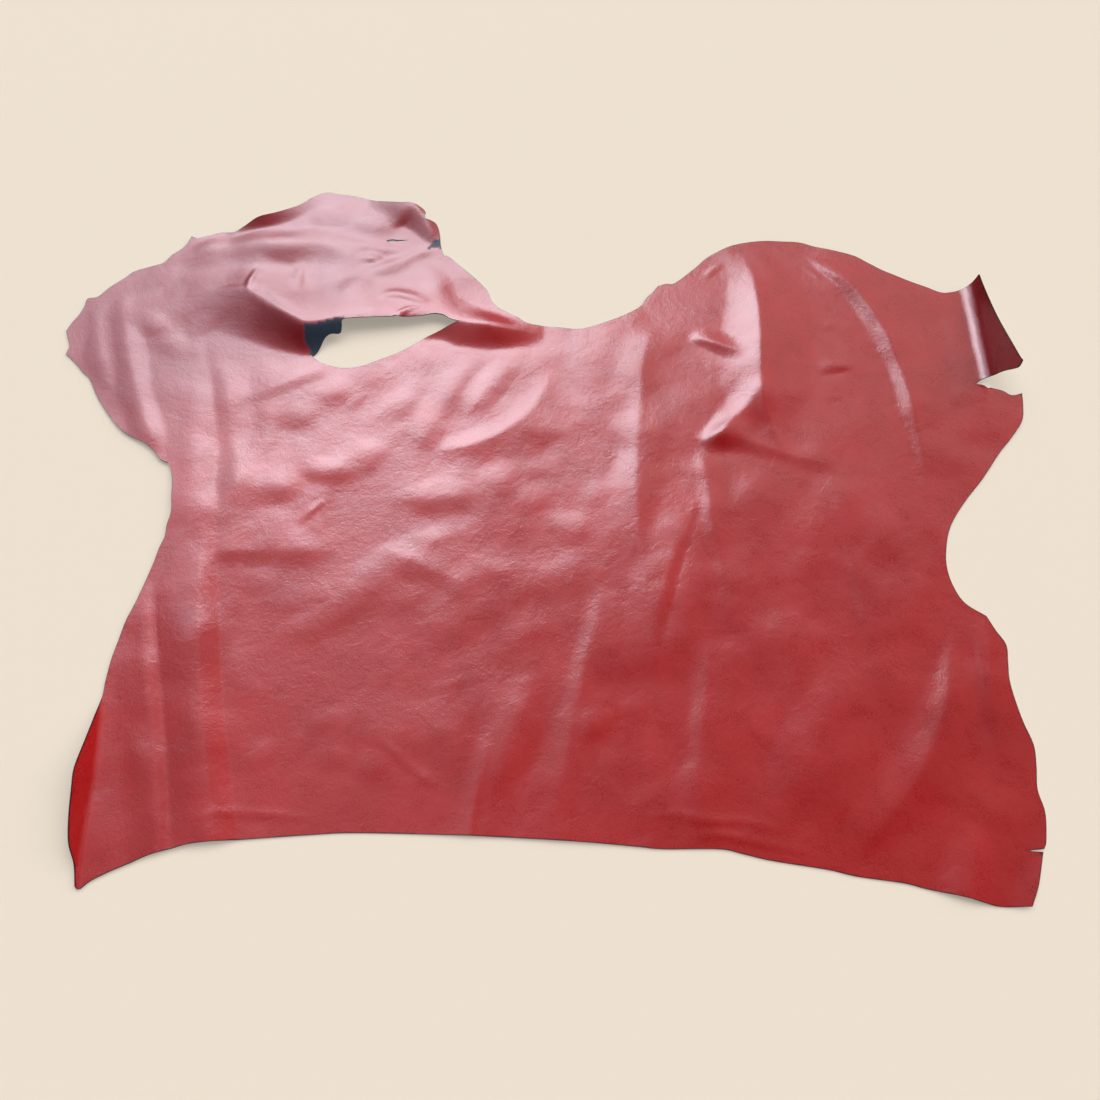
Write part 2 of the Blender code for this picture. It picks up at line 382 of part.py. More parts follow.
def inside_ring(x, y, ring):
    """Even-odd test of points against a closed ring."""
    inside = np.zeros(x.shape, dtype=bool)
    for (ax, ay), (bx, by) in zip(ring, np.roll(ring, -1, axis=0)):
        if ay == by:
            continue
        crosses = (ay > y) != (by > y)
        inside ^= crosses & (x < (bx - ax) * (y - ay) / (by - ay) + ax)
    return inside


def distance_to_ring(x, y, ring):
    """Shortest distance from points to a closed ring."""
    best = np.full(x.shape, np.inf)
    for a, b in zip(ring, np.roll(ring, -1, axis=0)):
        along = b - a
        t = np.clip(((x - a[0]) * along[0] + (y - a[1]) * along[1]) / (along @ along), 0.0, 1.0)
        best = np.minimum(best, np.hypot(x - a[0] - t * along[0], y - a[1] - t * along[1]))
    return best


def cell_points(low, high):
    """Corners of square cells that are halved where the sheet curves most."""
    counts = np.ceil((high - low) / CELL_SIZE).astype(int)
    gx, gy = np.meshgrid(np.arange(counts[0]), np.arange(counts[1]))
    cells = np.stack([low[0] + gx.ravel() * CELL_SIZE, low[1] + gy.ravel() * CELL_SIZE], axis=1)
    size = CELL_SIZE
    corners = []
    for halving in range(CELL_HALVINGS + 1):
        corners.append(np.vstack([cells + np.array([i, j]) * size for i in (0, 1) for j in (0, 1)]))
        if halving == CELL_HALVINGS:
            break
        middle = underside(cells[:, 0] + size / 2, cells[:, 1] + size / 2)
        corner = [underside(cells[:, 0] + i * size, cells[:, 1] + j * size) for i in (0, 1) for j in (0, 1)]
        sides = [underside(cells[:, 0] + i * size / 2, cells[:, 1] + j * size / 2)
                 for i, j in ((1, 0), (0, 1), (2, 1), (1, 2))]
        bend = np.linalg.norm(middle - sum(corner) / 4, axis=1)
        for (a, b), side in zip(((0, 2), (0, 1), (2, 3), (1, 3)), sides):
            bend = np.maximum(bend, np.linalg.norm(side - (corner[a] + corner[b]) / 2, axis=1))
        size /= 2
        curved = cells[bend > CELL_TOLERANCE]
        cells = np.vstack([curved + np.array([i, j]) * size for i in (0, 1) for j in (0, 1)])
    return np.unique(np.round(np.vstack(corners), 6), axis=0)


def bend_points():
    """Points along both margins' bend lines, so that each roll keeps its round back."""
    found = []
    for curl in CURLS:
        line = np.array(curl.line) * CM
        y = np.arange(line[0, 1], line[-1, 1], EDGE_STEP)
        x = np.interp(y, line[:, 1], line[:, 0])
        arc = curl.radius * CM * np.radians(curl.lift)
        for share in (0.0, 0.5, 1.0):
            found.append(np.stack([x + curl.side * arc * share, y], axis=1))
    return np.vstack(found)


def flat_mesh():
    """Triangles over the flat cut, with the rings of its outer edge, hole and tear."""
    outer = closed_edge(EDGE_STRETCHES, EDGE_STEP)
    hole = closed_edge(HOLE_STRETCHES, EDGE_STEP)
    tear = np.array(TEAR_EDGE) * CM
    rings = [outer, hole, tear]
    bends = bend_points()
    grid = cell_points(outer.min(axis=0), outer.max(axis=0))
    off_bends = [np.min(np.hypot(*(bends - point).T)) > EDGE_CLEARANCE for point in grid]
    inner = np.vstack([bends, grid[off_bends]])
    keep = inside_ring(inner[:, 0], inner[:, 1], outer)
    for ring in rings[1:]:
        keep &= ~inside_ring(inner[:, 0], inner[:, 1], ring)
    for ring in rings:
        keep &= distance_to_ring(inner[:, 0], inner[:, 1], ring) > EDGE_CLEARANCE
    inner = inner[keep]
    points = np.vstack(rings + [inner])
    edges = []
    start = 0
    for ring in rings:
        count = len(ring)
        edges += [(start + i, start + (i + 1) % count) for i in range(count)]
        start += count
    result = delaunay_2d_cdt([Vector(p) for p in points], edges, [], 0, WELD_DISTANCE)
    flat = np.array([tuple(v) for v in result[0]])
    faces = np.array(result[2])
    mx, my = flat[faces].mean(axis=1).T
    kept = inside_ring(mx, my, outer) & ~inside_ring(mx, my, hole) & ~inside_ring(mx, my, tear)
    a, b, c = flat[faces[:, 0]], flat[faces[:, 1]], flat[faces[:, 2]]
    turn = (b[:, 0] - a[:, 0]) * (c[:, 1] - a[:, 1]) - (b[:, 1] - a[:, 1]) * (c[:, 0] - a[:, 0])
    faces[turn < 0] = faces[turn < 0][:, ::-1]
    triangles = [tuple(int(i) for i in face) for face in faces[kept]]
    return flat, triangles


def rim_edges(triangles):
    """Directed edges used by one triangle only."""
    directed = {(t[i], t[(i + 1) % 3]) for t in triangles for i in range(3)}
    return sorted(edge for edge in directed if (edge[1], edge[0]) not in directed)


def make_hide():
    """The whole hide as one closed solid with its box centred over the origin."""
    flat, triangles = flat_mesh()
    x, y = flat[:, 0], flat[:, 1]
    below = underside(x, y)
    above = below + THICKNESS * upward(x, y)
    points = np.vstack([below, above])
    middle = (points.min(axis=0) + points.max(axis=0)) / 2
    points[:, :2] -= middle[:2]
    count = len(flat)
    faces = [(a + count, b + count, c + count) for a, b, c in triangles]
    faces += [(c, b, a) for a, b, c in triangles]
    for a, b in rim_edges(triangles):
        faces.append((a, b, b + count))
        faces.append((a, b + count, a + count))
    mesh = bpy.data.meshes.new("hide")
    mesh.from_pydata([tuple(p) for p in points], [], faces)
    mesh.update()
    hide = bpy.data.objects.new("hide", mesh)
    bpy.context.scene.collection.objects.link(hide)
    return hide


def leather():
    """Red grain leather."""
    material = bpy.data.materials.new("red_leather")
    material.use_nodes = True
    shader = material.node_tree.nodes["Principled BSDF"]
    shader.inputs["Base Color"].default_value = BASE_COLOUR
    shader.inputs["Roughness"].default_value = ROUGHNESS
    return material


def main():
    for thing in list(bpy.data.objects):
        bpy.data.objects.remove(thing, do_unlink=True)
    hide = make_hide()
    hide.data.materials.append(leather())
    hide.data.shade_smooth()


main()
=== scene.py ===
"""Looks of a red leather hide that lies on a floor: its fine sheet, its leather and its studio."""

import math
from collections import namedtuple

import bpy
import numpy as np
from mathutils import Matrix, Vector
from mathutils.geometry import delaunay_2d_cdt
from mathutils.kdtree import KDTree


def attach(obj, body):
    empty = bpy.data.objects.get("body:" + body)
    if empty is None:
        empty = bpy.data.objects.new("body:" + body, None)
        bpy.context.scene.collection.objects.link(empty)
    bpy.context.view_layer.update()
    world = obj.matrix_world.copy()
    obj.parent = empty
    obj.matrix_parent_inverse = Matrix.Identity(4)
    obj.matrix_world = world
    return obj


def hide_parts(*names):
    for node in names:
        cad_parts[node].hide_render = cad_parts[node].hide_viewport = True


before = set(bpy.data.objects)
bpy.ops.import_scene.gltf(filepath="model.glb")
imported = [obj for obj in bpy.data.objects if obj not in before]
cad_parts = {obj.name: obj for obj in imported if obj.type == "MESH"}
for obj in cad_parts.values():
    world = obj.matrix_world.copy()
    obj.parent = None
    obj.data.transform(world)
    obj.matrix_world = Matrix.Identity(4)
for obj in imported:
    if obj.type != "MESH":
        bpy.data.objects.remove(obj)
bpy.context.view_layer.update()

bl_info = {
    "name": "Leather Hide",
    "version": (1, 0, 0),
    "blender": (4, 5, 0),
    "location": "View3D > Sidebar > Hide",
    "description": "Lays out a folded leather hide with its grain, cut edge, flesh side and soft studio",
    "category": "Object",
}

CM = 0.01
MM = 0.001
NODE = "hide"
CURVE_STEPS = 12
WIDE_REACH = 10.5
EDGE_SPACING = 4.8 * MM
TEAR_SPACING = 4.0 * MM
EDGE_CLEARANCE = 0.7
WELD_DISTANCE = 1.0e-7
PROBE = 0.8 * MM
SHARP_ANGLE = math.radians(60.0)

# Where the frame's origin falls on the flat cut, in cm.
ORIGIN_ON_CUT = (-2.40, 10.79)

# The cut edge, clockwise from the left tip. A new stretch starts at each sharp corner. Columns: x, y in cm.
EDGE_STRETCHES = {
    "left_lobe_side": [
        (-79.6, 40.0), (-79.0, 41.8), (-78.2, 43.4), (-77.7, 45.2), (-77.5, 46.8), (-75.9, 47.2),
        (-74.2, 49.3), (-72.1, 51.3), (-70.8, 52.7), (-68.0, 53.8), (-66.0, 54.6), (-65.0, 56.2),
        (-63.6, 57.5), (-62.7, 59.0)],
    "nub": [(-62.3, 60.5), (-61.2, 60.0)],
    "lobe_far_side": [
        (-61.2, 60.0), (-59.4, 60.6), (-57.2, 61.4), (-55.0, 61.4), (-53.4, 62.4), (-51.1, 63.9),
        (-47.9, 65.3), (-44.5, 67.3), (-42.0, 69.5), (-39.9, 70.8), (-37.3, 70.5), (-35.0, 70.1),
        (-33.0, 69.5), (-30.8, 68.5)],
    "raised_corner": [
        (-30.8, 68.5), (-28.8, 67.9), (-26.2, 67.2), (-24.4, 67.0), (-23.0, 66.4), (-22.0, 65.5),
        (-21.8, 64.6), (-22.0, 63.8)],
    "lobe_right_side": [
        (-21.2, 63.6), (-20.2, 63.4), (-19.6, 62.4), (-19.1, 60.3), (-18.9, 58.6), (-18.3, 56.3),
        (-17.4, 55.9), (-15.2, 53.6), (-12.8, 51.2), (-10.7, 48.7), (-9.7, 46.2), (-8.7, 44.9)],
    "neck": [
        (-8.7, 44.9), (-6.8, 43.7), (-5.2, 42.7), (-3.8, 41.4), (-1.0, 40.9), (2.0, 40.6),
        (4.8, 40.4), (7.6, 41.1), (10.5, 42.3), (13.7, 44.0), (15.4, 45.4)],
    "dome": [
        (15.4, 45.4), (16.2, 46.9), (17.4, 48.2), (18.2, 49.4), (19.6, 50.0), (21.2, 50.2),
        (24.7, 53.4), (26.7, 55.5), (28.9, 57.0), (32.0, 58.5), (36.5, 59.4), (40.2, 59.4),
        (43.2, 59.2), (46.0, 58.1), (51.6, 56.2), (54.4, 54.3), (56.7, 52.6), (60.0, 50.8),
        (63.3, 49.1), (65.6, 47.9), (67.5, 48.0), (69.2, 48.5), (71.0, 49.0), (72.9, 49.5)],
    "flap_outer": [(72.9, 49.5), (73.6, 44.0), (74.7, 37.5), (76.2, 30.4), (76.7, 28.7)],
    "flap_lower": [
        (76.7, 28.7), (75.7, 28.1), (74.2, 28.7), (73.0, 29.3), (71.5, 29.8), (70.0, 30.1),
        (68.8, 29.9), (67.8, 29.2)],
    "slit_lower": [(67.8, 29.2), (70.0, 28.5), (71.8, 27.9), (73.1, 27.0), (74.8, 27.4)],
    "right_wing": [
        (74.8, 27.4), (74.5, 25.2), (73.7, 22.2), (71.5, 19.2), (69.3, 16.7), (67.0, 13.7),
        (65.2, 11.4), (62.4, 8.2), (60.0, 5.0), (58.7, 2.6), (57.9, 0.0), (57.5, -2.6),
        (57.8, -5.5), (59.0, -8.4), (61.7, -10.5)],
    "right_side": [
        (61.7, -10.5), (62.6, -12.7), (63.6, -14.8), (63.3, -17.4), (62.9, -20.0), (63.1, -23.0),
        (63.6, -26.0), (64.3, -29.0), (64.0, -32.0), (63.5, -34.8), (63.8, -37.8), (63.1, -41.3)],
    "nick": [(62.6, -42.3), (60.6, -42.5), (62.4, -42.7)],
    "right_corner": [(62.4, -42.7), (61.6, -44.8), (60.7, -47.0), (59.5, -49.2)],
    "near_side": [
        (59.5, -49.2), (56.0, -49.2), (53.6, -48.7), (51.0, -48.0), (47.0, -47.1), (44.2, -46.4),
        (38.5, -45.6), (35.0, -44.8), (28.0, -43.7), (24.5, -42.9), (21.5, -42.3), (14.5, -42.3),
        (11.0, -42.0), (5.0, -41.5), (-5.0, -40.9), (-15.0, -40.5), (-25.0, -40.3), (-30.0, -40.5),
        (-40.0, -41.2), (-45.5, -41.7), (-48.0, -42.3), (-50.8, -43.1), (-53.1, -44.1),
        (-55.4, -45.1), (-57.5, -46.2), (-58.7, -47.2)],
    "left_strip": [
        (-59.3, -46.8), (-60.0, -44.2), (-61.3, -41.8), (-62.1, -38.5), (-62.6, -35.0),
        (-62.8, -32.5), (-62.2, -29.0), (-61.5, -25.2), (-61.0, -22.6), (-60.9, -20.0)],
    "left_side": [
        (-60.9, -20.0), (-60.7, -16.8), (-60.3, -14.2), (-59.8, -11.3), (-59.0, -8.7), (-58.2, -5.2),
        (-57.5, -2.0), (-57.1, 0.2), (-56.6, 2.0), (-56.6, 3.9), (-56.3, 6.1), (-56.7, 8.7),
        (-57.0, 11.0), (-57.6, 13.3), (-58.2, 14.5)],
    "left_lobe_underside": [
        (-58.2, 14.5), (-59.6, 15.2), (-61.2, 17.0), (-63.0, 18.4), (-65.0, 19.4), (-66.8, 20.7),
        (-68.7, 22.7), (-70.7, 25.3), (-72.1, 27.4), (-73.7, 30.3), (-75.2, 31.8), (-76.7, 33.5),
        (-78.6, 35.3)],
    "left_tip": [(-78.6, 35.3), (-78.4, 36.8), (-79.0, 38.4)],
}

# The hole's edge, from its right end along the arch and back along the floor. Columns: x, y in cm. The
# tongue stretch bounds sheet that fills the shade under the arch's end and carries a painted shadow.
HOLE_STRETCHES = {
    "arch": [
        (-14.9, 40.9), (-16.2, 41.3), (-17.6, 42.2), (-19.1, 42.4), (-20.8, 42.0), (-23.2, 41.6),
        (-26.5, 41.3), (-30.2, 40.9), (-33.5, 40.5)],
    "tongue": [
        (-33.8, 39.6), (-34.1, 38.5), (-35.6, 38.3), (-36.6, 37.6), (-37.3, 36.4), (-38.0, 35.3)],
    "floor": [
        (-38.6, 34.8), (-37.0, 33.5), (-35.2, 32.8), (-33.4, 32.4), (-31.4, 32.5), (-29.6, 33.0),
        (-27.4, 34.1), (-25.5, 35.0), (-23.4, 36.2), (-21.6, 37.6), (-19.8, 38.8), (-17.3, 40.0)],
}

TEAR_EDGE = [(-28.4, 59.4), (-27.5, 59.8), (-26.4, 59.7), (-24.6, 59.7), (-26.4, 59.4), (-27.5, 59.1)]

# A fold's crest from end to end. Columns: x, y in cm, rise in mm, reach to the left and right in cm.
# crest is 1 for a sharp crest and 2 for a round one, foot is 1 for a sharp foot and 2 for a soft one.
# A negative rise is a groove.
Fold = namedtuple("Fold", "name crest foot sections")

FOLDS = [
    Fold("arch_at_hole", 1.35, 1.6, [
        (-70.0, 45.0, 0, 5.0, 4.0), (-63.5, 46.4, 3, 6.0, 7.5), (-57.3, 47.4, 6, 7.0, 9.0),
        (-50.6, 47.2, 12, 9.0, 9.4), (-46.0, 43.8, 15, 10.4, 7.4), (-41.8, 40.8, 17, 10.6, 5.4),
        (-38.9, 39.5, 17, 10.6, 4.5), (-33.4, 40.7, 14, 10.0, 4.4), (-26.5, 41.4, 11, 9.0, 4.2),
        (-19.1, 42.4, 9, 7.6, 4.4), (-14.9, 41.0, 12, 6.0, 4.4), (-9.8, 40.2, 15, 4.6, 4.2),
        (-5.5, 39.8, 9, 3.6, 3.6), (-1.0, 39.8, 0, 3.0, 3.0)]),
    Fold("lobe_puff", 1.5, 1.7, [
        (-61.0, 47.6, 0, 12.0, 8.0), (-55.0, 47.6, 4, 14.0, 8.6), (-50.6, 47.2, 8, 16.0, 9.0),
        (-46.0, 43.8, 11, 19.0, 7.4), (-41.8, 40.8, 12, 21.0, 5.4), (-38.9, 39.5, 12, 22.0, 4.5),
        (-33.4, 40.7, 11, 21.0, 4.4), (-26.5, 41.4, 9, 17.0, 4.2), (-19.1, 42.4, 6, 12.0, 4.4),
        (-14.9, 41.0, 4, 8.0, 4.4), (-9.8, 40.2, 0, 5.0, 4.2)]),
    Fold("lobe_back_ridge", 1.6, 1.8, [
        (-63.0, 55.0, 0, 3.0, 3.0), (-57.5, 56.8, 4, 4.0, 4.5), (-51.4, 58.0, 8, 4.5, 5.2),
        (-45.5, 58.2, 9, 4.5, 5.4), (-40.0, 58.4, 7, 4.5, 5.0), (-35.6, 56.8, 4, 4.0, 4.0),
        (-32.0, 54.2, 0, 3.0, 3.0)]),
    Fold("lobe_far_margin", 1.3, 1.5, [
        (-56.5, 61.4, 0, 2.0, 2.0), (-53.2, 63.2, 8, 3.0, 2.2), (-50.4, 64.8, 14, 3.0, 2.8),
        (-47.0, 66.6, 9, 3.0, 3.2), (-43.5, 69.0, 4, 3.0, 3.4), (-39.0, 71.0, 0, 3.0, 3.0)]),
    Fold("raised_corner", 1.5, 1.6, [
        (-32.0, 69.6, 0, 2.0, 3.0), (-28.4, 68.4, 8, 3.0, 4.6), (-25.0, 67.2, 14, 3.0, 5.6),
        (-22.6, 65.2, 12, 2.0, 4.2), (-20.9, 61.6, 7, 2.0, 2.6), (-20.4, 58.8, 0, 1.5, 1.5)]),
    Fold("lobe_wrinkle_far", 1.5, 1.7, [
        (-36.5, 59.4, 0, 1.8, 2.0), (-31.5, 58.0, 2.4, 2.2, 2.0), (-27.4, 57.2, 2.4, 2.2, 1.8),
        (-24.0, 57.4, 0, 1.8, 1.6)]),
    Fold("lobe_wrinkle_middle", 1.5, 1.7, [
        (-32.0, 51.6, 0, 2.0, 2.2), (-28.4, 52.8, 2.8, 2.4, 2.4), (-25.2, 54.6, 3, 2.4, 2.2),
        (-22.2, 56.6, 2.4, 2.2, 1.8), (-19.8, 57.6, 0, 1.6, 1.5)]),
    Fold("lobe_wrinkle_near", 1.2, 1.5, [
        (-28.6, 45.6, 0, 1.6, 1.2), (-26.0, 46.7, 3.6, 2.0, 1.4), (-23.0, 45.9, 3.6, 2.0, 1.3),
        (-19.6, 44.6, 0, 1.4, 1.2)]),
    Fold("left_margin_outer", 1.7, 1.6, [
        (-76.0, 47.0, 0, 2.4, 2.6), (-75.0, 41.5, 2.2, 2.6, 3.0), (-73.6, 37.0, 2.4, 2.6, 3.0),
        (-72.0, 32.5, 2, 2.4, 2.6), (-70.6, 28.0, 0, 2.0, 2.0)]),
    Fold("left_margin_inner", 1.6, 1.7, [
        (-72.4, 50.0, 0, 3.0, 3.0), (-70.8, 43.5, 2.4, 3.0, 3.4), (-69.0, 37.5, 3.4, 3.0, 3.6),
        (-67.4, 33.0, 3.2, 3.0, 3.4), (-65.8, 28.0, 3, 2.8, 3.2), (-63.8, 23.4, 4, 2.8, 3.2),
        (-62.0, 19.6, 3, 2.6, 2.6), (-60.0, 16.4, 0, 2.0, 2.0)]),
    Fold("left_shoulder_swell", 1.8, 1.9, [
        (-62.0, 36.0, 0, 8.0, 10.0), (-57.0, 24.0, 3, 9.0, 12.0), (-53.0, 10.0, 4, 8.0, 13.0),
        (-50.0, -5.0, 5, 7.0, 13.0), (-48.0, -18.0, 6, 9.0, 13.0), (-45.6, -30.0, 6, 10.0, 13.0),
        (-43.6, -42.0, 5, 10.0, 12.0)]),
    Fold("left_shoulder_crease", 1.0, 1.7, [
        (-57.6, 42.0, 0, 3.4, 4.0), (-55.6, 35.0, -1, 4.6, 4.6), (-53.5, 28.0, -1.8, 5.0, 5.0),
        (-50.8, 14.0, -2.2, 5.4, 5.0), (-48.6, 0.0, -2.8, 6.0, 4.6), (-46.5, -12.0, -4.0, 7.6, 4.0),
        (-44.0, -25.0, -4.8, 8.4, 4.0), (-41.2, -36.0, -4.2, 8.0, 4.0), (-39.4, -42.0, -3.0, 7.0, 3.6)]),
    Fold("crease_right_shoulder", 1.7, 1.6, [
        (-54.0, 37.0, 0, 4.0, 2.4), (-51.0, 27.0, 1.2, 4.0, 2.4), (-48.6, 18.0, 1.4, 4.0, 2.4),
        (-46.6, 8.0, 1, 4.5, 2.6), (-44.6, -2.0, 0, 4.5, 2.6)]),
    Fold("corner_crease", 1.0, 1.7, [
        (-57.6, -2.0, 0, 2.4, 1.2), (-56.5, -8.0, -1.0, 3.4, 1.5), (-54.8, -15.0, -2.0, 4.4, 1.8),
        (-52.2, -25.0, -2.6, 5.0, 2.0), (-50.0, -34.0, -2.6, 5.0, 2.0), (-48.2, -42.0, -1.8, 4.4, 1.8)]),
    Fold("under_hole", 1.4, 1.6, [
        (-50.5, 26.6, 0, 3.4, 2.4), (-46.0, 27.8, 1.2, 4.0, 2.4), (-42.0, 29.6, 2, 4.0, 2.4),
        (-38.6, 31.4, 2, 3.6, 2.4), (-35.4, 32.2, 0, 2.5, 2.0)]),
    Fold("streak_by_hole", 1.6, 1.7, [
        (-12.2, 35.0, 0, 2.6, 3.0), (-14.2, 30.5, 1.8, 3.2, 3.6), (-17.0, 24.8, 2, 3.6, 3.6),
        (-19.6, 19.0, 2.0, 3.4, 3.0), (-21.5, 14.0, 0, 3.0, 3.0)]),
    Fold("streak_right_of_it", 1.6, 1.7, [
        (-6.0, 33.4, 0, 2.4, 2.6), (-8.6, 30.2, 2, 3.0, 3.4), (-11.2, 26.4, 2, 3.0, 3.2),
        (-13.4, 22.8, 0, 2.4, 2.6)]),
    Fold("bright_crescent", 1.15, 1.8, [
        (0.4, 32.0, 0, 5.0, 2.6), (-1.2, 27.6, 2.0, 7.0, 3.0), (-3.8, 23.4, 3.0, 8.0, 3.2),
        (-7.6, 20.0, 3.2, 7.0, 3.2), (-12.0, 17.9, 3.0, 5.0, 3.2), (-15.6, 17.2, 1.6, 4.0, 2.8),
        (-18.6, 16.4, 0, 3.0, 2.4)]),
    Fold("ripple_upper", 1.6, 1.8, [
        (-51.0, 10.2, 0, 3.6, 3.6), (-47.4, 10.4, 2.2, 4.4, 4.0), (-43.0, 10.6, 2.2, 4.4, 4.0),
        (-39.4, 11.0, 1.2, 3.8, 3.4), (-36.6, 11.6, 0, 3.0, 2.8)]),
    Fold("ripple_lower", 1.4, 1.8, [
        (-49.6, -0.6, 0, 4.2, 2.8), (-46.5, -0.4, 2.4, 5.0, 2.8), (-42.0, -0.2, 2.0, 4.8, 3.0),
        (-37.0, -0.2, 1.2, 4.2, 3.0), (-32.5, -0.8, 0, 3.4, 2.8)]),
    Fold("lozenge", 1.6, 1.7, [
        (-26.0, 6.6, 0, 2.6, 2.4), (-22.4, 8.0, 1.3, 3.4, 3.6), (-17.4, 8.8, 1.5, 3.6, 4.0),
        (-12.6, 8.8, 0.8, 3.4, 3.4), (-9.6, 8.6, 0, 3.0, 3.0)]),
    Fold("crescent", 1.4, 1.7, [
        (-25.0, 1.0, 0, 2.6, 2.6), (-21.8, -1.2, 1.7, 3.4, 3.2), (-18.0, -3.0, 2.0, 3.6, 3.4),
        (-14.4, -4.6, 1.4, 3.2, 3.2), (-11.0, -6.2, 0, 2.8, 3.0)]),
    Fold("swell_right_of_middle", 1.15, 1.9, [
        (17.0, 41.0, 0, 6.0, 4.0), (15.2, 34.0, 2.6, 7.4, 5.0), (14.2, 26.0, 4, 8.0, 5.6),
        (13.4, 17.0, 4.4, 8.0, 5.6), (13.0, 9.0, 3.8, 7.4, 5.0), (13.2, 1.0, 2.2, 6.0, 4.4),
        (13.8, -6.0, 0, 4.5, 4.0)]),
    Fold("dome_left_ridge", 1.1, 1.9, [
        (32.6, 57.0, 0, 6.0, 3.6), (34.2, 52.0, 4, 10.0, 5.4), (34.5, 46.0, 9.6, 12.4, 6.4),
        (34.3, 40.0, 12, 12.0, 7.0), (33.9, 34.0, 11.4, 10.4, 7.2), (33.6, 28.0, 10, 8.4, 6.6),
        (34.0, 22.5, 6, 6.0, 5.4), (35.4, 18.5, 2, 4.0, 3.8), (36.4, 15.6, 0, 3.0, 2.8)]),
    Fold("dome_left_branch", 1.2, 1.7, [
        (34.0, 30.0, 0, 4.0, 3.0), (31.6, 26.0, 4.6, 4.6, 3.6), (28.8, 22.4, 7.4, 4.2, 3.4),
        (26.0, 19.6, 7, 3.4, 2.6), (23.0, 18.0, 0, 2.4, 2.0)]),
    Fold("dome_near_fold", 1.4, 1.6, [
        (24.0, 18.6, 0, 2.6, 2.2), (27.6, 19.2, 4.2, 4.0, 2.8), (32.0, 18.0, 3.8, 4.4, 2.8),
        (36.6, 16.2, 2.6, 4.2, 2.5), (40.6, 15.0, 1.4, 3.6, 2.3), (44.0, 14.4, 0, 2.4, 2.0)]),
    Fold("dome_pinch", 1.2, 1.5, [
        (22.8, 38.8, 0, 2.2, 1.4), (25.4, 37.9, 4.4, 3.0, 1.7), (28.4, 36.6, 4.2, 3.0, 2.2),
        (31.6, 35.2, 0, 2.4, 2.2)]),
    Fold("dome_right_ridge", 1.2, 1.8, [
        (44.5, 56.0, 0, 4.0, 2.2), (48.8, 52.0, 3.4, 7.6, 2.6), (52.2, 46.4, 6.2, 10.0, 3.0),
        (54.6, 40.4, 7.4, 11.6, 3.2), (56.0, 34.0, 7.2, 12.0, 3.2), (56.8, 28.0, 6.4, 11.6, 3.2),
        (57.2, 22.0, 5.0, 10.0, 3.0), (57.2, 15.0, 3.4, 8.0, 3.0), (56.6, 8.0, 2, 6.0, 2.8),
        (55.8, 2.0, 0, 4.0, 2.6)]),
    Fold("flap_root_swell", 1.9, 1.9, [
        (67.0, 49.0, 0, 3.0, 3.4), (67.0, 41.0, 2, 3.6, 3.0), (66.6, 33.0, 2.2, 3.6, 3.0),
        (66.4, 25.0, 2, 4.0, 4.0), (65.4, 18.0, 0, 3.4, 3.4)]),
    Fold("narrow_line_right", 1.2, 1.7, [
        (42.4, 16.0, 0, 3.0, 1.6), (43.4, 6.0, 0.9, 4.4, 1.7), (44.2, -4.0, 1.1, 4.8, 1.8),
        (44.9, -13.0, 1.1, 4.8, 1.8), (46.0, -21.0, 0.9, 4.4, 1.8), (48.0, -27.0, 0, 3.0, 1.6)]),
    Fold("narrow_line_middle", 1.3, 1.6, [
        (23.2, 18.0, 0, 2.4, 1.6), (23.6, 12.0, 1.8, 3.2, 1.8), (24.0, 6.0, 2.2, 3.4, 1.9),
        (24.5, 0.0, 1.8, 3.4, 1.9), (25.2, -6.0, 1.2, 3.2, 1.8), (26.0, -11.0, 0, 2.4, 1.6)]),
    Fold("glint_swell", 1.8, 1.9, [
        (21.0, 12.0, 0, 5.0, 4.0), (19.4, 4.0, 3, 7.0, 5.0), (17.4, -4.0, 4.4, 8.0, 6.0),
        (15.8, -11.0, 3.4, 7.0, 6.0), (14.6, -19.0, 0, 5.0, 5.0)]),
    Fold("glint_crease", 1.0, 1.6, [
        (23.4, 10.0, 0, 1.6, 1.0), (21.2, 3.6, -1, 2.6, 1.2), (19.2, -1.6, -2.2, 3.4, 1.4),
        (17.6, -7.0, -2.6, 3.8, 1.5), (16.2, -12.0, -1.6, 3.6, 1.4), (15.0, -17.0, 0, 2.6, 1.2)]),
    Fold("near_swell_1", 1.2, 1.8, [
        (7.6, -6.0, 0, 4.6, 2.0), (6.6, -11.0, 1.8, 7.0, 2.6), (5.0, -17.0, 2.8, 9.0, 3.2),
        (3.4, -24.0, 3.2, 10.0, 4.2), (2.0, -31.0, 2.6, 9.4, 5.0), (0.6, -37.0, 1.4, 7.0, 5.0),
        (-1.0, -41.5, 0, 4.0, 4.0)]),
    Fold("near_swell_2", 1.5, 1.8, [
        (22.6, -14.0, 0, 5.0, 2.4), (21.8, -19.0, 2.4, 7.4, 3.0), (20.8, -25.5, 3.8, 8.6, 3.8),
        (19.8, -32.0, 3.6, 8.4, 4.2), (18.8, -38.0, 2.2, 7.0, 4.4), (17.8, -43.0, 1, 5.4, 4.4)]),
    Fold("near_swell_3", 1.5, 1.8, [
        (42.0, -15.0, 0, 6.0, 3.4), (39.6, -21.0, 2.2, 8.4, 4.4), (36.8, -27.0, 3.6, 9.4, 5.4),
        (33.4, -32.5, 3.2, 8.4, 5.6), (30.0, -37.5, 2, 6.6, 5.0), (27.6, -42.5, 0, 4.6, 4.4)]),
    Fold("near_big_ridge", 1.15, 1.8, [
        (57.0, -8.0, 0, 3.4, 2.0), (56.2, -14.0, 3, 6.4, 2.8), (54.6, -20.5, 6, 9.0, 4.0),
        (52.0, -27.0, 8, 10.6, 5.4), (48.8, -32.4, 7.4, 10.4, 6.4), (45.0, -37.0, 4.6, 8.6, 6.4),
        (41.0, -41.0, 2, 6.6, 5.4), (37.4, -44.8, 0, 4.6, 4.0)]),
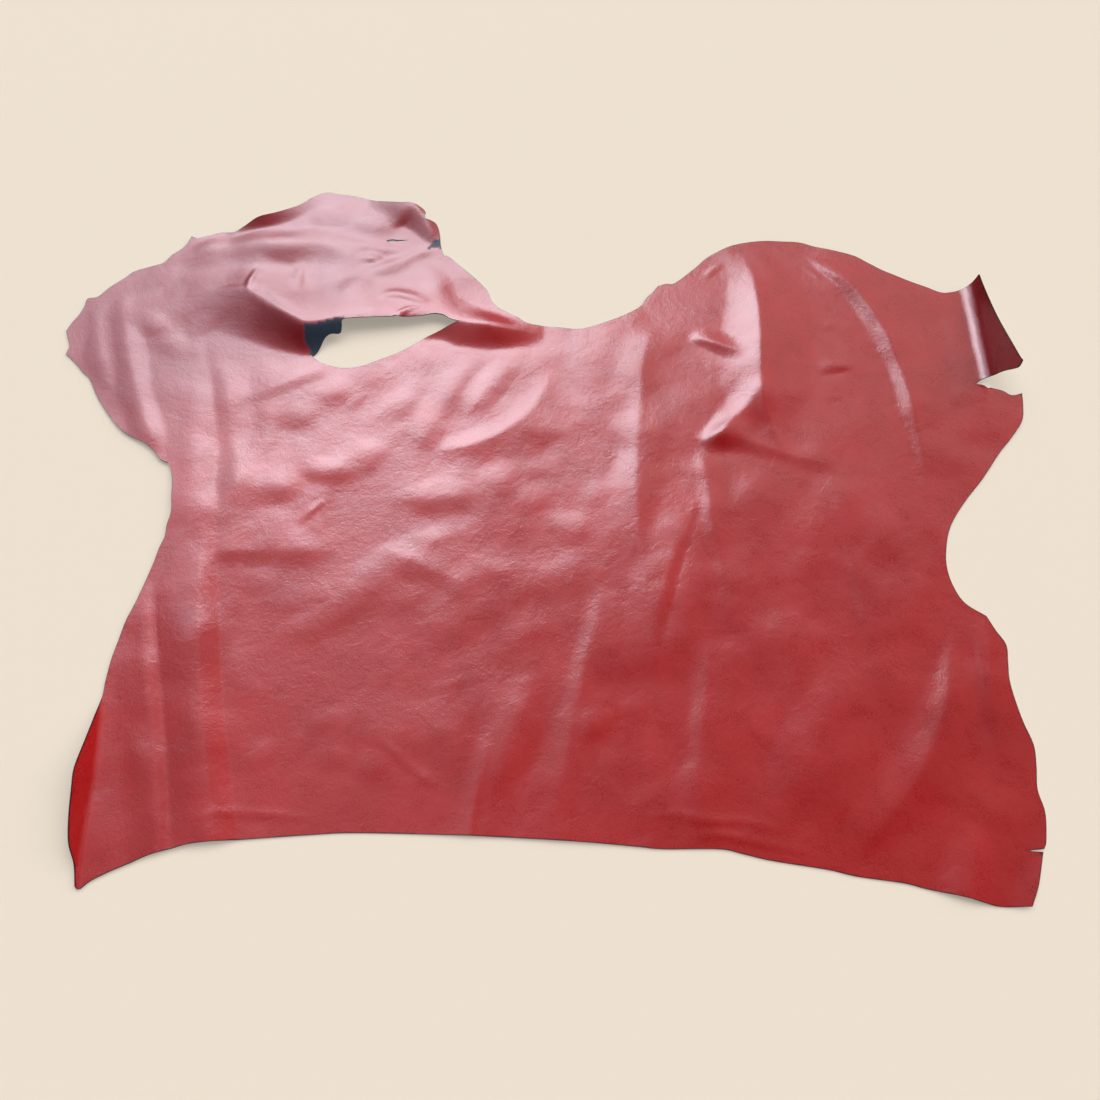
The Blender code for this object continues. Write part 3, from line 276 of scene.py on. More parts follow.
    Fold("right_margin", 1.4, 1.7, [
        (60.6, -10.0, 0, 2.0, 1.6), (60.2, -15.5, 2.6, 3.0, 1.8), (59.8, -22.0, 3, 3.2, 2.0),
        (60.0, -28.0, 2.6, 3.2, 2.4), (60.6, -34.0, 0, 3.0, 2.6)]),
    Fold("corner_patch", 1.4, 1.6, [
        (54.6, -39.0, 0, 2.4, 2.4), (53.4, -43.6, 4, 3.4, 4.0), (52.0, -49.0, 6, 4.0, 4.6)]),
    Fold("corner_lift", 1.2, 1.8, [
        (65.0, -42.6, 3, 3.0, 3.4), (61.6, -47.4, 7, 3.0, 4.4), (57.6, -51.2, 3, 3.0, 3.6)]),
    Fold("near_swell_0", 1.7, 1.8, [
        (-1.0, -17.0, 0, 4.0, 3.0), (-3.6, -24.0, 2, 4.4, 4.0), (-6.0, -30.0, 3, 4.4, 4.2),
        (-8.0, -36.0, 2, 4.2, 4.2), (-9.0, -41.5, 0, 4.0, 4.0)]),
]

# Low swells between the folds, and dips where the rise is negative.
# Columns: x, y in cm, rise in mm, half length and half width in cm, turn of the length in degrees.
SWELLS = [
    (-33.8, 13.4, 1.5, 5.4, 2.8, -4), (-39.5, 23.0, 1.2, 4.5, 3.2, -30), (-29.0, 24.6, -1.2, 3.2, 2.6, 60),
    (-24.0, 25.4, 1.4, 4.6, 3.2, 40), (-33.6, 28.0, 1.0, 4.0, 3.0, 20), (-44.0, 21.0, 1.0, 6.0, 3.0, 85),
    (-17.0, 4.6, -1.4, 6.0, 3.4, 10), (-8.0, 10.0, 0.9, 6.0, 4.0, 70), (-27.0, 16.0, 1.0, 5.0, 4.0, 45),
    (-3.0, 8.6, 1.2, 5.0, 3.4, 20), (2.0, 3.6, 1.0, 4.6, 3.6, -20), (-3.0, -12.6, 1.7, 5.4, 3.8, 15),
    (-4.0, -17.6, -1.2, 4.6, 2.8, 10), (-35.0, -24.0, 1.1, 3.4, 2.8, 0), (-30.6, -25.4, 1.0, 3.0, 2.4, 30),
    (-29.0, -30.6, 1.1, 3.4, 2.6, -20), (-22.0, -18.8, 1.0, 3.6, 2.6, 30), (-23.6, -31.6, 0.9, 3.2, 2.6, 10),
    (-37.6, -30.0, 1.0, 3.4, 3.0, 60), (-33.0, -12.0, 1.0, 5.0, 3.4, 20), (-14.0, -13.0, 1.0, 5.6, 3.6, -10),
    (16.0, -3.0, 0.6, 5.0, 2.8, 0), (25.0, -4.6, 0.8, 6.6, 3.2, -12), (37.5, -3.0, 1.0, 6.0, 3.6, 10),
    (31.0, 8.0, 1.4, 6.0, 4.6, 80), (37.0, 30.0, -1.4, 6.0, 3.0, 85), (46.0, 33.0, 1.6, 4.4, 1.8, 5),
    (45.6, 41.2, 1.0, 3.0, 1.4, 0), (6.0, -26.0, 1.1, 3.4, 2.6, 20), (12.0, -24.0, 1.1, 3.2, 2.4, 0),
    (9.0, -31.6, 1.0, 3.6, 2.6, -20), (29.0, -24.0, 1.0, 3.8, 2.8, 30), (33.0, -12.0, 0.9, 6.6, 3.4, 20),
    (51.0, -12.0, 1.4, 5.6, 3.4, 60), (49.0, 3.0, 1.4, 6.0, 3.6, 85), (-62.0, 37.0, 1.4, 5.0, 3.4, -60),
    (-66.0, 41.6, 1.8, 4.6, 3.0, -40), (-57.0, 41.0, 1.6, 4.0, 2.8, 40), (-31.0, 63.6, 2.4, 5.0, 3.4, -20),
    (-38.0, 65.6, 2.6, 5.4, 3.6, 10), (-32.6, 48.6, 2.6, 4.6, 3.2, 60), (-20.0, 51.0, 2.4, 5.6, 3.0, -50),
    (-66.6, 51.0, 1.8, 5.0, 3.0, 30), (-58.6, 57.8, 1.4, 3.6, 2.4, 20), (-54.0, -31.0, 0.9, 8.0, 2.2, -75),
]

# Thin creases, bands and scuffs that only the fine sheet has, in the columns of FOLDS.
FINE_FOLDS = [
    Fold("crest_groove", 1.3, 1.5, [
        (-58.6, 48.6, 0, 0.8, 0.7), (-54.4, 48.8, -0.7, 1.0, 0.8), (-50.6, 48.2, -1.2, 1.1, 0.8),
        (-46.0, 44.8, -1.5, 1.1, 0.8), (-42.2, 42.0, -1.4, 1.0, 0.7), (-39.4, 40.5, 0, 0.8, 0.6)]),
    Fold("inner_band", 1.1, 1.3, [
        (-51.0, 4.0, 0, 2.0, 5.0), (-50.4, -3.0, 2.0, 2.2, 6.0), (-49.2, -12.0, 3.4, 2.6, 6.4),
        (-46.8, -25.0, 3.8, 2.9, 6.4), (-44.6, -33.0, 3.2, 2.8, 6.0), (-42.6, -41.0, 2.0, 2.6, 5.0)]),
    Fold("outer_band", 1.1, 1.3, [
        (-57.8, -5.0, 0, 0.9, 2.4), (-57.0, -11.0, 1.4, 1.3, 3.4), (-55.4, -18.0, 2.0, 1.5, 4.4),
        (-53.4, -25.6, 2.2, 1.6, 5.0), (-51.2, -34.0, 2.0, 1.6, 5.0), (-49.6, -41.0, 1.2, 1.4, 4.4)]),
    Fold("dome_top_crease", 1.1, 1.4, [
        (44.6, 55.4, 0, 0.5, 0.6), (46.4, 53.2, 1.2, 0.7, 0.8), (48.2, 51.4, 1.2, 0.7, 0.8),
        (49.8, 49.6, 0, 0.5, 0.6)]),
    Fold("dome_top_crease_left", 1.1, 1.4, [
        (43.4, 54.0, 0, 0.5, 0.6), (45.0, 51.8, 0.9, 0.6, 0.7), (46.6, 50.2, 0, 0.5, 0.6)]),
    Fold("dome_edge_streak", 1.1, 1.4, [
        (26.0, 51.2, 0, 0.6, 0.6), (27.8, 53.0, 1.3, 0.8, 0.8), (30.0, 54.8, 0, 0.6, 0.6)]),
    Fold("near_margin_wrinkle", 1.2, 1.5, [
        (11.0, -38.4, 0, 0.8, 0.8), (16.0, -38.0, 0.7, 1.0, 1.0), (21.0, -38.8, 0.9, 1.0, 1.0),
        (26.0, -39.0, 0.7, 1.0, 0.9), (31.0, -40.4, 0, 0.8, 0.8)]),
    Fold("near_margin_wrinkle_edge", 1.2, 1.5, [
        (17.0, -40.8, 0, 0.7, 0.7), (22.0, -40.6, 0.8, 0.9, 0.8), (28.0, -41.8, 0.7, 0.9, 0.8),
        (35.0, -43.2, 0, 0.7, 0.7)]),
    Fold("near_margin_wrinkle_left", 1.2, 1.5, [
        (-47.0, -38.8, 0, 0.7, 0.7), (-42.0, -37.8, 0.7, 0.9, 0.8), (-36.0, -38.0, 0.8, 0.9, 0.8),
        (-29.0, -38.6, 0, 0.7, 0.7)]),
    Fold("short_wrinkle", 1.1, 1.4, [
        (42.6, 30.6, 0, 0.6, 0.6), (45.4, 31.2, -1.0, 0.8, 0.8), (48.6, 32.4, 0, 0.6, 0.6)]),
    Fold("pinch_at_arch", 1.1, 1.4, [
        (-49.9, 46.4, 0, 0.5, 0.7), (-50.2, 48.4, 3.5, 0.7, 1.0), (-49.9, 50.6, 3, 0.7, 1.0),
        (-49.6, 52.8, 0, 0.5, 0.8)]),
    Fold("lobe_upright_crease", 1.3, 1.6, [
        (-42.2, 54.6, 0, 1.0, 1.4), (-42.4, 51.0, 2.5, 1.2, 1.8), (-42.0, 47.0, 0, 1.0, 1.4)]),
    Fold("tuck_at_hole", 1.2, 1.4, [
        (-25.4, 41.0, 3, 0.6, 0.5), (-23.6, 42.8, 3, 0.8, 0.6), (-21.6, 43.4, 0, 0.7, 0.6)]),
    Fold("puff_on_lobe", 1.7, 1.7, [
        (-33.0, 55.4, 0, 1.4, 1.4), (-30.4, 55.2, 3.5, 1.6, 1.5), (-28.4, 54.8, 0, 1.2, 1.2)]),
    Fold("scuff_by_ripple", 1.2, 1.5, [
        (-37.4, 4.2, 0, 0.6, 0.7), (-35.6, 6.4, 1.4, 0.8, 0.9), (-33.6, 8.4, 0, 0.6, 0.7)]),
    Fold("slanting_crease_near", 1.1, 1.5, [
        (-24.0, -27.4, 0, 1.0, 1.0), (-20.2, -30.2, 0.9, 1.2, 1.0), (-16.2, -33.6, 0.9, 1.2, 1.0),
        (-12.6, -34.9, 0, 0.8, 0.8)]),
    Fold("slanting_line_middle", 1.1, 1.6, [
        (-18.2, -22.0, 0, 1.0, 1.0), (-12.6, -20.2, 0.4, 1.2, 1.2), (-6.2, -18.4, 0, 1.0, 1.0)]),
    Fold("upright_crease_near", 1.1, 1.6, [
        (-8.2, -26.6, 0, 0.9, 1.0), (-8.8, -31.0, 0.8, 1.2, 1.1), (-9.7, -36.0, 1.0, 1.2, 1.1),
        (-10.4, -41.0, 1.0, 1.0, 1.0)]),
    Fold("puncture_scar", 1.1, 1.4, [
        (43.6, 25.0, 0, 0.4, 0.4), (44.8, 25.9, -1.2, 0.5, 0.5), (46.0, 26.2, 0, 0.4, 0.4)]),
]

# A margin rolled up past a bend line. side is 1 when it rolls to the right and -1 to the left.
# line rows: x, y in cm. radius in cm, lift in degrees. above: x, y, slope of the slit that frees it.
Curl = namedtuple("Curl", "name side line radius lift above")
CURLS = [
    Curl("flap", 1, [(67.7, 27.0), (67.8, 33.0), (68.1, 41.0), (68.4, 53.0)],
         3.0, 71.0, (67.8, 29.0, -0.185)),
    Curl("left_strip", -1, [(-58.7, -49.0), (-59.1, -40.0), (-59.4, -33.0), (-60.2, -25.0), (-61.2, -18.5)],
         0.6, 57.0, None),
]

# Painted shadow: places where the grain side is coloured near-black blue for the shade under the arch's end
# and in the gap at the corner fold, as closed outlines on the cut. Columns: x, y in cm.
PAINTED_SHADOW_PLACES = {
    "tongue_at_hole": [
        (-39.6, 39.2), (-37.0, 39.6), (-34.6, 40.6), (-33.0, 40.4), (-33.4, 38.0), (-36.0, 36.6),
        (-37.6, 34.8), (-38.9, 35.2), (-39.6, 37.0)],
    "gap_at_corner_fold": [(-20.9, 57.7), (-18.6, 57.8), (-18.8, 60.2), (-19.4, 60.2)],
}


class HideSheetSettings(bpy.types.PropertyGroup):
    thickness: bpy.props.FloatProperty(
        name="Thickness", description="Thickness of the leather", default=0.002, min=0.001, max=0.004,
        unit="LENGTH")
    grain_spacing: bpy.props.FloatProperty(
        name="Grain side spacing", description="Distance between points on the grain side",
        default=0.0050, min=0.004, max=0.03, unit="LENGTH")
    flesh_spacing: bpy.props.FloatProperty(
        name="Flesh side spacing", description="Distance between points on the flesh side",
        default=0.0095, min=0.006, max=0.04, unit="LENGTH")
    unevenness: bpy.props.FloatProperty(
        name="Unevenness", description="Height of the slow bulges between the folds",
        default=0.0038, min=0.0, max=0.008, unit="LENGTH")


class HideLeatherSettings(bpy.types.PropertyGroup):
    dye: bpy.props.FloatVectorProperty(
        name="Dye", description="Colour of the dyed grain side", subtype="COLOR", size=3,
        default=(0.42, 0.003, 0.005), min=0.0, max=1.0)
    dye_deep: bpy.props.FloatVectorProperty(
        name="Deep dye", description="Colour where the dye sits deepest", subtype="COLOR", size=3,
        default=(0.29, 0.002, 0.003), min=0.0, max=1.0)
    blue_grey: bpy.props.FloatVectorProperty(
        name="Raw side", description="Colour of the blue-grey flesh side", subtype="COLOR", size=3,
        default=(0.16, 0.19, 0.22), min=0.0, max=1.0)
    far_lobe_colour: bpy.props.FloatVectorProperty(
        name="Far lobe colour", description="Duller, purplish colour of the far left lobe", subtype="COLOR", size=3,
        default=(0.18, 0.006, 0.016), min=0.0, max=1.0)
    roughness: bpy.props.FloatProperty(
        name="Roughness", description="Mean roughness of the grain side", default=0.29, min=0.0, max=1.0,
        subtype="FACTOR")


class HideStageSettings(bpy.types.PropertyGroup):
    floor: bpy.props.FloatVectorProperty(
        name="Floor", description="Colour of the plain floor", subtype="COLOR", size=3,
        default=(0.84, 0.75, 0.64), min=0.0, max=1.0)
    elevation: bpy.props.FloatProperty(
        name="Camera elevation", description="Angle at which the camera looks down",
        default=math.radians(64.0), min=0.0, max=math.pi / 2, subtype="ANGLE")
    distance: bpy.props.FloatProperty(
        name="Camera distance", description="From the camera to the floor at the picture's middle",
        default=1.40, min=0.2, max=6.0, unit="LENGTH")
    focal: bpy.props.FloatProperty(
        name="Focal length", description="Camera lens on a 36 mm wide sensor, in millimetres",
        default=31.3, min=10.0, max=200.0)


def smooth_line(rows, steps):
    """Catmull-Rom line through the rows, every column carried along."""
    rows = np.asarray(rows, dtype=float)
    padded = np.vstack([2 * rows[0] - rows[1], rows, 2 * rows[-1] - rows[-2]])
    pieces = []
    for i in range(1, len(padded) - 2):
        before, start, end, after = padded[i - 1:i + 3]
        t = np.linspace(0.0, 1.0, steps, endpoint=False)[:, None]
        pieces.append(0.5 * (2 * start + (end - before) * t
                             + (2 * before - 5 * start + 4 * end - after) * t ** 2
                             + (3 * start - before - 3 * end + after) * t ** 3))
    pieces.append(rows[-1:])
    return np.vstack(pieces)


def closed_edge(stretches, step):
    """One closed ring of points, smooth inside each stretch and evenly spaced."""
    ring = []
    rows = list(stretches.values())
    for i, stretch in enumerate(rows):
        following = rows[(i + 1) % len(rows)][0]
        line = list(stretch)
        if line[-1] != following:
            line.append(following)
        curve = smooth_line(line, CURVE_STEPS) * CM if len(line) > 2 else np.array(line) * CM
        lengths = np.concatenate([[0.0], np.cumsum(np.linalg.norm(np.diff(curve, axis=0), axis=1))])
        count = max(1, int(round(lengths[-1] / step)))
        stops = np.linspace(0.0, lengths[-1], count + 1)[:-1]
        ring.append(np.stack([np.interp(stops, lengths, curve[:, k]) for k in (0, 1)], axis=1))
    return np.vstack(ring)


def nearest_crest(line, x, y):
    """Distance from a fold's crest, positive on its left, and the rise and reaches beside it."""
    best = np.full(x.shape, np.inf)
    values = np.zeros((3,) + x.shape)
    side = np.zeros(x.shape)
    for start, end in zip(line[:-1], line[1:]):
        along = end[:2] - start[:2]
        rx, ry = x - start[0], y - start[1]
        t = np.clip((rx * along[0] + ry * along[1]) / (along @ along), 0.0, 1.0)
        distance = np.hypot(rx - t * along[0], ry - t * along[1])
        nearer = distance < best
        best[nearer] = distance[nearer]
        side[nearer] = (along[0] * ry - along[1] * rx)[nearer]
        for k in range(3):
            values[k][nearer] = start[k + 2] + t[nearer] * (end[k + 2] - start[k + 2])
    return np.where(side > 0, best, -best), values


def straight_across(line, x, y):
    """The same for a wide fold, measured straight over its run so that a bend leaves no seam."""
    run = int(np.ptp(line[:, 1]) > np.ptp(line[:, 0]))
    forward = line[-1, run] > line[0, run]
    ordered = line[np.argsort(line[:, run])]
    here, over = (y, x) if run else (x, y)
    offset = over - np.interp(here, ordered[:, run], ordered[:, 1 - run])
    values = [np.interp(here, ordered[:, run], ordered[:, k]) for k in (2, 3, 4)]
    return np.where(forward == bool(run), -offset, offset), values


def fold_rise(fold, x, y):
    """Height that one fold adds at flat points, in metres."""
    wide = max(row[3] for row in fold.sections) > WIDE_REACH
    line = smooth_line(fold.sections, CURVE_STEPS)
    line[:, 2] *= MM
    line[:, [0, 1, 3, 4]] *= CM
    farthest = line[:, 3:5].max()
    rise = np.zeros(x.shape)
    close = (x > line[:, 0].min() - farthest) & (x < line[:, 0].max() + farthest)
    close &= (y > line[:, 1].min() - farthest) & (y < line[:, 1].max() + farthest)
    offset, (height, left, right) = (straight_across if wide else nearest_crest)(line, x[close], y[close])
    reach = np.where(offset > 0, left, right)
    part = np.clip(np.abs(offset) / np.maximum(reach, MM), 0.0, 1.0)
    rise[close] = height * (1.0 - part ** fold.crest) ** fold.foot
    return rise


class Bulges:
    """Slow, seeded unevenness over the cut: smooth noise at a few sizes."""

    LATTICE = 96
    MIDDLE = 40.0
    GAIN = 1.5

    def __init__(self, seed, layers):
        draw = np.random.default_rng(seed)
        self.layers = [(size * CM, share, draw.uniform(-1.0, 1.0, (self.LATTICE, self.LATTICE)))
                       for size, share in layers]

    def __call__(self, x, y):
        total = np.zeros(x.shape)
        for size, share, lattice in self.layers:
            total += share * self.sample(lattice, x / size + self.MIDDLE, y / size + self.MIDDLE)
        return total

    @staticmethod
    def sample(lattice, u, v):
        i, j = np.floor(u).astype(int), np.floor(v).astype(int)
        fu, fv = u - i, v - j
        total = np.zeros(u.shape)
        for di in range(-1, 3):
            for dj in range(-1, 3):
                weight = Bulges.bump(fu - di) * Bulges.bump(fv - dj)
                total += weight * lattice[(i + di) % Bulges.LATTICE, (j + dj) % Bulges.LATTICE]
        return total * Bulges.GAIN

    @staticmethod
    def bump(t):
        """Cubic B-spline weight."""
        t = np.abs(t)
        inner = 2.0 / 3.0 - t ** 2 + t ** 3 / 2.0
        outer = (2.0 - t) ** 3 / 6.0
        return np.where(t < 1.0, inner, np.where(t < 2.0, outer, 0.0))


BULGES = Bulges(7, [(7.0, 0.6), (3.4, 0.32), (1.7, 0.08)])
CONTACT_DEPTH = 0.6 * MM
SLACK = 1.6 * MM
KNEE = 0.8 * MM


def swell_rise(x, y):
    """Height of all the low swells and dips together, in metres."""
    total = np.zeros(x.shape)
    for middle_x, middle_y, rise, length, width, turn in SWELLS:
        along = math.radians(turn)
        rx, ry = x / CM - middle_x, y / CM - middle_y
        u = (rx * math.cos(along) + ry * math.sin(along)) / length
        v = (ry * math.cos(along) - rx * math.sin(along)) / width
        total += rise * MM * np.clip(1.0 - u ** 2 - v ** 2, 0.0, None) ** 2
    return total


def softened(height, knee):
    """Height kept over the floor, with a rounded start."""
    return np.where(height > knee, height, knee * np.exp((np.minimum(height, knee) - knee) / knee))


def lift(x, y, unevenness):
    """Height of the underside over the floor before the margins are rolled up."""
    total = sum(fold_rise(fold, x, y) for fold in FOLDS)
    low = unevenness * BULGES(x, y) + swell_rise(x, y) + SLACK
    fine = sum(fold_rise(fold, x, y) for fold in FINE_FOLDS)
    return np.maximum(softened(total + low - CONTACT_DEPTH, KNEE) + fine, 0.0)


def roll_up(curl, x, y, shift, z):
    """Roll the part of the sheet past a curl's bend line round its radius and up."""
    line = np.array(curl.line) * CM
    bend_x = np.interp(y, line[:, 1], line[:, 0])
    past = curl.side * (x - bend_x)
    if curl.above is not None:
        corner_x, corner_y, slope = curl.above
        cut_y = corner_y * CM + slope * (x - corner_x * CM)
        past = np.where(y > cut_y, past, 0.0)
    radius = curl.radius * CM
    angle = np.radians(curl.lift)
    beside = (y > line[0, 1]) & (y < line[-1, 1])
    past = np.where(beside, np.maximum(past, 0.0), 0.0)
    turned = np.minimum(past / radius, angle)
    straight = past - turned * radius
    reach = radius * np.sin(turned) + straight * np.cos(angle)
    rise = radius * (1.0 - np.cos(turned)) + straight * np.sin(angle)
    return shift + curl.side * (reach - past), z + rise


def underside(x, y, unevenness):
    """Where a flat point of the sheet's underside lies once the hide is down on the floor."""
    z = lift(x, y, unevenness)
    shift = np.zeros_like(x)
    for curl in CURLS:
        shift, z = roll_up(curl, x, y, shift, z)
    place = np.stack([x + shift, y, z], axis=-1)
    place[..., 0] -= ORIGIN_ON_CUT[0] * CM
    place[..., 1] -= ORIGIN_ON_CUT[1] * CM
    return place


def upward(x, y, unevenness):
    """Unit normals on the grain side."""
    across = underside(x + PROBE, y, unevenness) - underside(x - PROBE, y, unevenness)
    along = underside(x, y + PROBE, unevenness) - underside(x, y - PROBE, unevenness)
    normal = np.cross(across, along)
    return normal / np.linalg.norm(normal, axis=-1, keepdims=True)


def inside_ring(x, y, ring):
    """Even-odd test of points against a closed ring."""
    inside = np.zeros(x.shape, dtype=bool)
    for (ax, ay), (bx, by) in zip(ring, np.roll(ring, -1, axis=0)):
        if ay == by:
            continue
        crosses = (ay > y) != (by > y)
        inside ^= crosses & (x < (bx - ax) * (y - ay) / (by - ay) + ax)
    return inside


def near_rings(points, rings, clearance):
    """Points that lie closer to a ring's own points than the clearance."""
    ring_points = np.vstack(rings)
    tree = KDTree(len(ring_points))
    for i, (x, y) in enumerate(ring_points):
        tree.insert((x, y, 0.0), i)
    tree.balance()
    return np.array([tree.find((x, y, 0.0))[2] < clearance for x, y in points])


def staggered_grid(low, high, spacing):
    """Points of even triangles over a rectangle."""
    row_height = spacing * math.sqrt(3.0) / 2.0
    gx, gy = np.meshgrid(np.arange(low[0], high[0], spacing), np.arange(low[1], high[1], row_height))
    gx[1::2] += spacing / 2.0
    return np.stack([gx.ravel(), gy.ravel()], axis=1)


def skin(rings, spacing):
    """Triangles over the flat cut at one spacing; its first points are the rings' own."""
    outer = rings[0]
    inner = staggered_grid(outer.min(axis=0), outer.max(axis=0), spacing)
    keep = inside_ring(inner[:, 0], inner[:, 1], outer)
    for ring in rings[1:]:
        keep &= ~inside_ring(inner[:, 0], inner[:, 1], ring)
    inner = inner[keep]
    inner = inner[~near_rings(inner, rings, EDGE_CLEARANCE * spacing)]
    edges = []
    start = 0
    for ring in rings:
        edges += [(start + i, start + (i + 1) % len(ring)) for i in range(len(ring))]
        start += len(ring)
    points = np.vstack(rings + [inner])
    result = delaunay_2d_cdt([Vector(p) for p in points], edges, [], 0, WELD_DISTANCE)
    flat = np.array([tuple(v) for v in result[0]])
    faces = np.array(result[2])
    mx, my = flat[faces].mean(axis=1).T
    kept = inside_ring(mx, my, outer)
    for ring in rings[1:]:
        kept &= ~inside_ring(mx, my, ring)
    a, b, c = flat[faces[:, 0]], flat[faces[:, 1]], flat[faces[:, 2]]
    turn = (b[:, 0] - a[:, 0]) * (c[:, 1] - a[:, 1]) - (b[:, 1] - a[:, 1]) * (c[:, 0] - a[:, 0])
    faces[turn < 0] = faces[turn < 0][:, ::-1]
    return flat, faces[kept]


def painted_shadow_share(x, y):
    """1 inside the painted shadow places, 0 elsewhere."""
    share = np.zeros(x.shape)
    for outline in PAINTED_SHADOW_PLACES.values():
        ring = np.array(outline) * CM
        share = np.maximum(share, inside_ring(x, y, ring).astype(float))
    return share


def build_sheet(settings):
    """The fine sheet: grain side, flesh side and the cut edge between them, as one closed mesh."""
    rings = [closed_edge(EDGE_STRETCHES, EDGE_SPACING), closed_edge(HOLE_STRETCHES, EDGE_SPACING),
             closed_edge({"tear": TEAR_EDGE}, TEAR_SPACING)]
    grain_flat, grain_faces = skin(rings, settings.grain_spacing)
    flesh_flat, flesh_faces = skin(rings, settings.flesh_spacing)
    bumps = settings.unevenness
    gx, gy = grain_flat.T
    grain = underside(gx, gy, bumps) + settings.thickness * upward(gx, gy, bumps)
    flesh = underside(flesh_flat[:, 0], flesh_flat[:, 1], bumps)
    offset = len(grain)
    directed = {tuple(edge) for f in grain_faces for edge in ((f[0], f[1]), (f[1], f[2]), (f[2], f[0]))}
    rim = sorted(edge for edge in directed if (edge[1], edge[0]) not in directed)
    faces = [tuple(int(i) for i in f) for f in grain_faces]
    faces += [tuple(int(i) + offset for i in reversed(f)) for f in flesh_faces]
    faces += [(int(b), int(a), int(a) + offset, int(b) + offset) for a, b in rim]
    mesh = bpy.data.meshes.new("hide_sheet")
    mesh.from_pydata(np.vstack([grain, flesh]).tolist(), [], faces)
    kinds = np.repeat([0, 1, 2], [len(grain_faces), len(flesh_faces), len(rim)]).astype(np.int32)
    mesh.polygons.foreach_set("material_index", kinds)
    mesh.polygons.foreach_set("use_smooth", np.ones(len(kinds), dtype=bool))
    at_rim = np.zeros(offset + len(flesh))
    at_rim[:sum(len(ring) for ring in rings)] = 1.0
    # The first share marks the painted shadow places, the second marks the cut edge's points for its painted
    # shade band.
    shares = {"blue_grey": np.concatenate([painted_shadow_share(gx, gy), np.zeros(len(flesh))]), "rim": at_rim}
    for name, share in shares.items():
        mesh.attributes.new(name, "FLOAT", "POINT").data.foreach_set("value", share)
    mesh.update()
    sheet = bpy.data.objects.new("hide_sheet", mesh)
    bpy.context.scene.collection.objects.link(sheet)
    mesh.set_sharp_from_angle(angle=SHARP_ANGLE)
    return sheet


class Wire:
    """A shader socket that takes part in plain Python arithmetic."""

    def __init__(self, graph, socket):
        self.graph = graph
        self.socket = socket

    def _math(self, operation, *values):
        return self.graph.node("ShaderNodeMath", {"operation": operation}, dict(enumerate(values)))

    def __add__(self, other):
        return self._math("ADD", self, other)

    __radd__ = __add__

    def __sub__(self, other):
        return self._math("SUBTRACT", self, other)

    def __rsub__(self, other):
        return self._math("SUBTRACT", other, self)

    def __mul__(self, other):
        return self._math("MULTIPLY", self, other)

    __rmul__ = __mul__

    def clamped(self):
        return self.graph.node("ShaderNodeClamp", {}, {"Value": self})


class Graph:
    """A material's nodes, made one call at a time."""

    def __init__(self, name):
        self.material = bpy.data.materials.new(name)
        self.material.use_nodes = True
        self.tree = self.material.node_tree
        self.shader = self.tree.nodes["Principled BSDF"]

    def node(self, kind, settings=None, inputs=None, output=0):
        made = self.tree.nodes.new(kind)
        for key, value in (settings or {}).items():
            setattr(made, key, value)
        for key, value in (inputs or {}).items():
            self.feed(made.inputs[key], value)
        return Wire(self, made.outputs[output])

    def feed(self, socket, value):
        if isinstance(value, Wire):
            self.tree.links.new(value.socket, socket)
        else:
            socket.default_value = value

    def noise(self, where, scale, detail=3.0, roughness=0.5, distortion=0.0):
        return self.node("ShaderNodeTexNoise", {}, {
            "Vector": where, "Scale": scale, "Detail": detail, "Roughness": roughness,
            "Distortion": distortion})

    def cells(self, where, scale, feature="F1"):
        return self.node("ShaderNodeTexVoronoi", {"feature": feature}, {"Vector": where, "Scale": scale})

    def mix(self, factor, a, b):
        """Colour a where factor is 0 and b where it is 1."""
        return self.node("ShaderNodeMix", {"data_type": "RGBA"}, {"Factor": factor, 6: a, 7: b}, 2)

    def split(self, where):
        """A vector's x, y and z."""
        parts = self.node("ShaderNodeSeparateXYZ", {}, {"Vector": where}).socket.node.outputs
        return [Wire(self, part) for part in parts]

    def bump(self, height, distance, strength=1.0, normal=None):
        inputs = {"Height": height, "Distance": distance, "Strength": strength}
        if normal is not None:
            inputs["Normal"] = normal
        return self.node("ShaderNodeBump", {}, inputs)

    def finish(self, **values):
        for key, value in values.items():
            self.feed(self.shader.inputs[key.replace("_", " ")], value)
        return self.material


def opaque(colour):
    return (*colour, 1.0)


# Painted shade: the dark colour of a band along the cut edge.
PAINTED_EDGE_SHADE = (0.030, 0.008, 0.012, 1.0)
PORE_DYE = (0.10, 0.004, 0.006, 1.0)
# Painted shadow: near-black blues for the shade under the arch's end and in the corner fold gap.
PAINTED_SHADOW_DARK, PAINTED_SHADOW_LIGHT = (0.008, 0.016, 0.032, 1.0), (0.028, 0.050, 0.085, 1.0)
CUT_DARK, CUT_LIGHT = (0.012, 0.006, 0.009, 1.0), (0.060, 0.022, 0.024, 1.0)


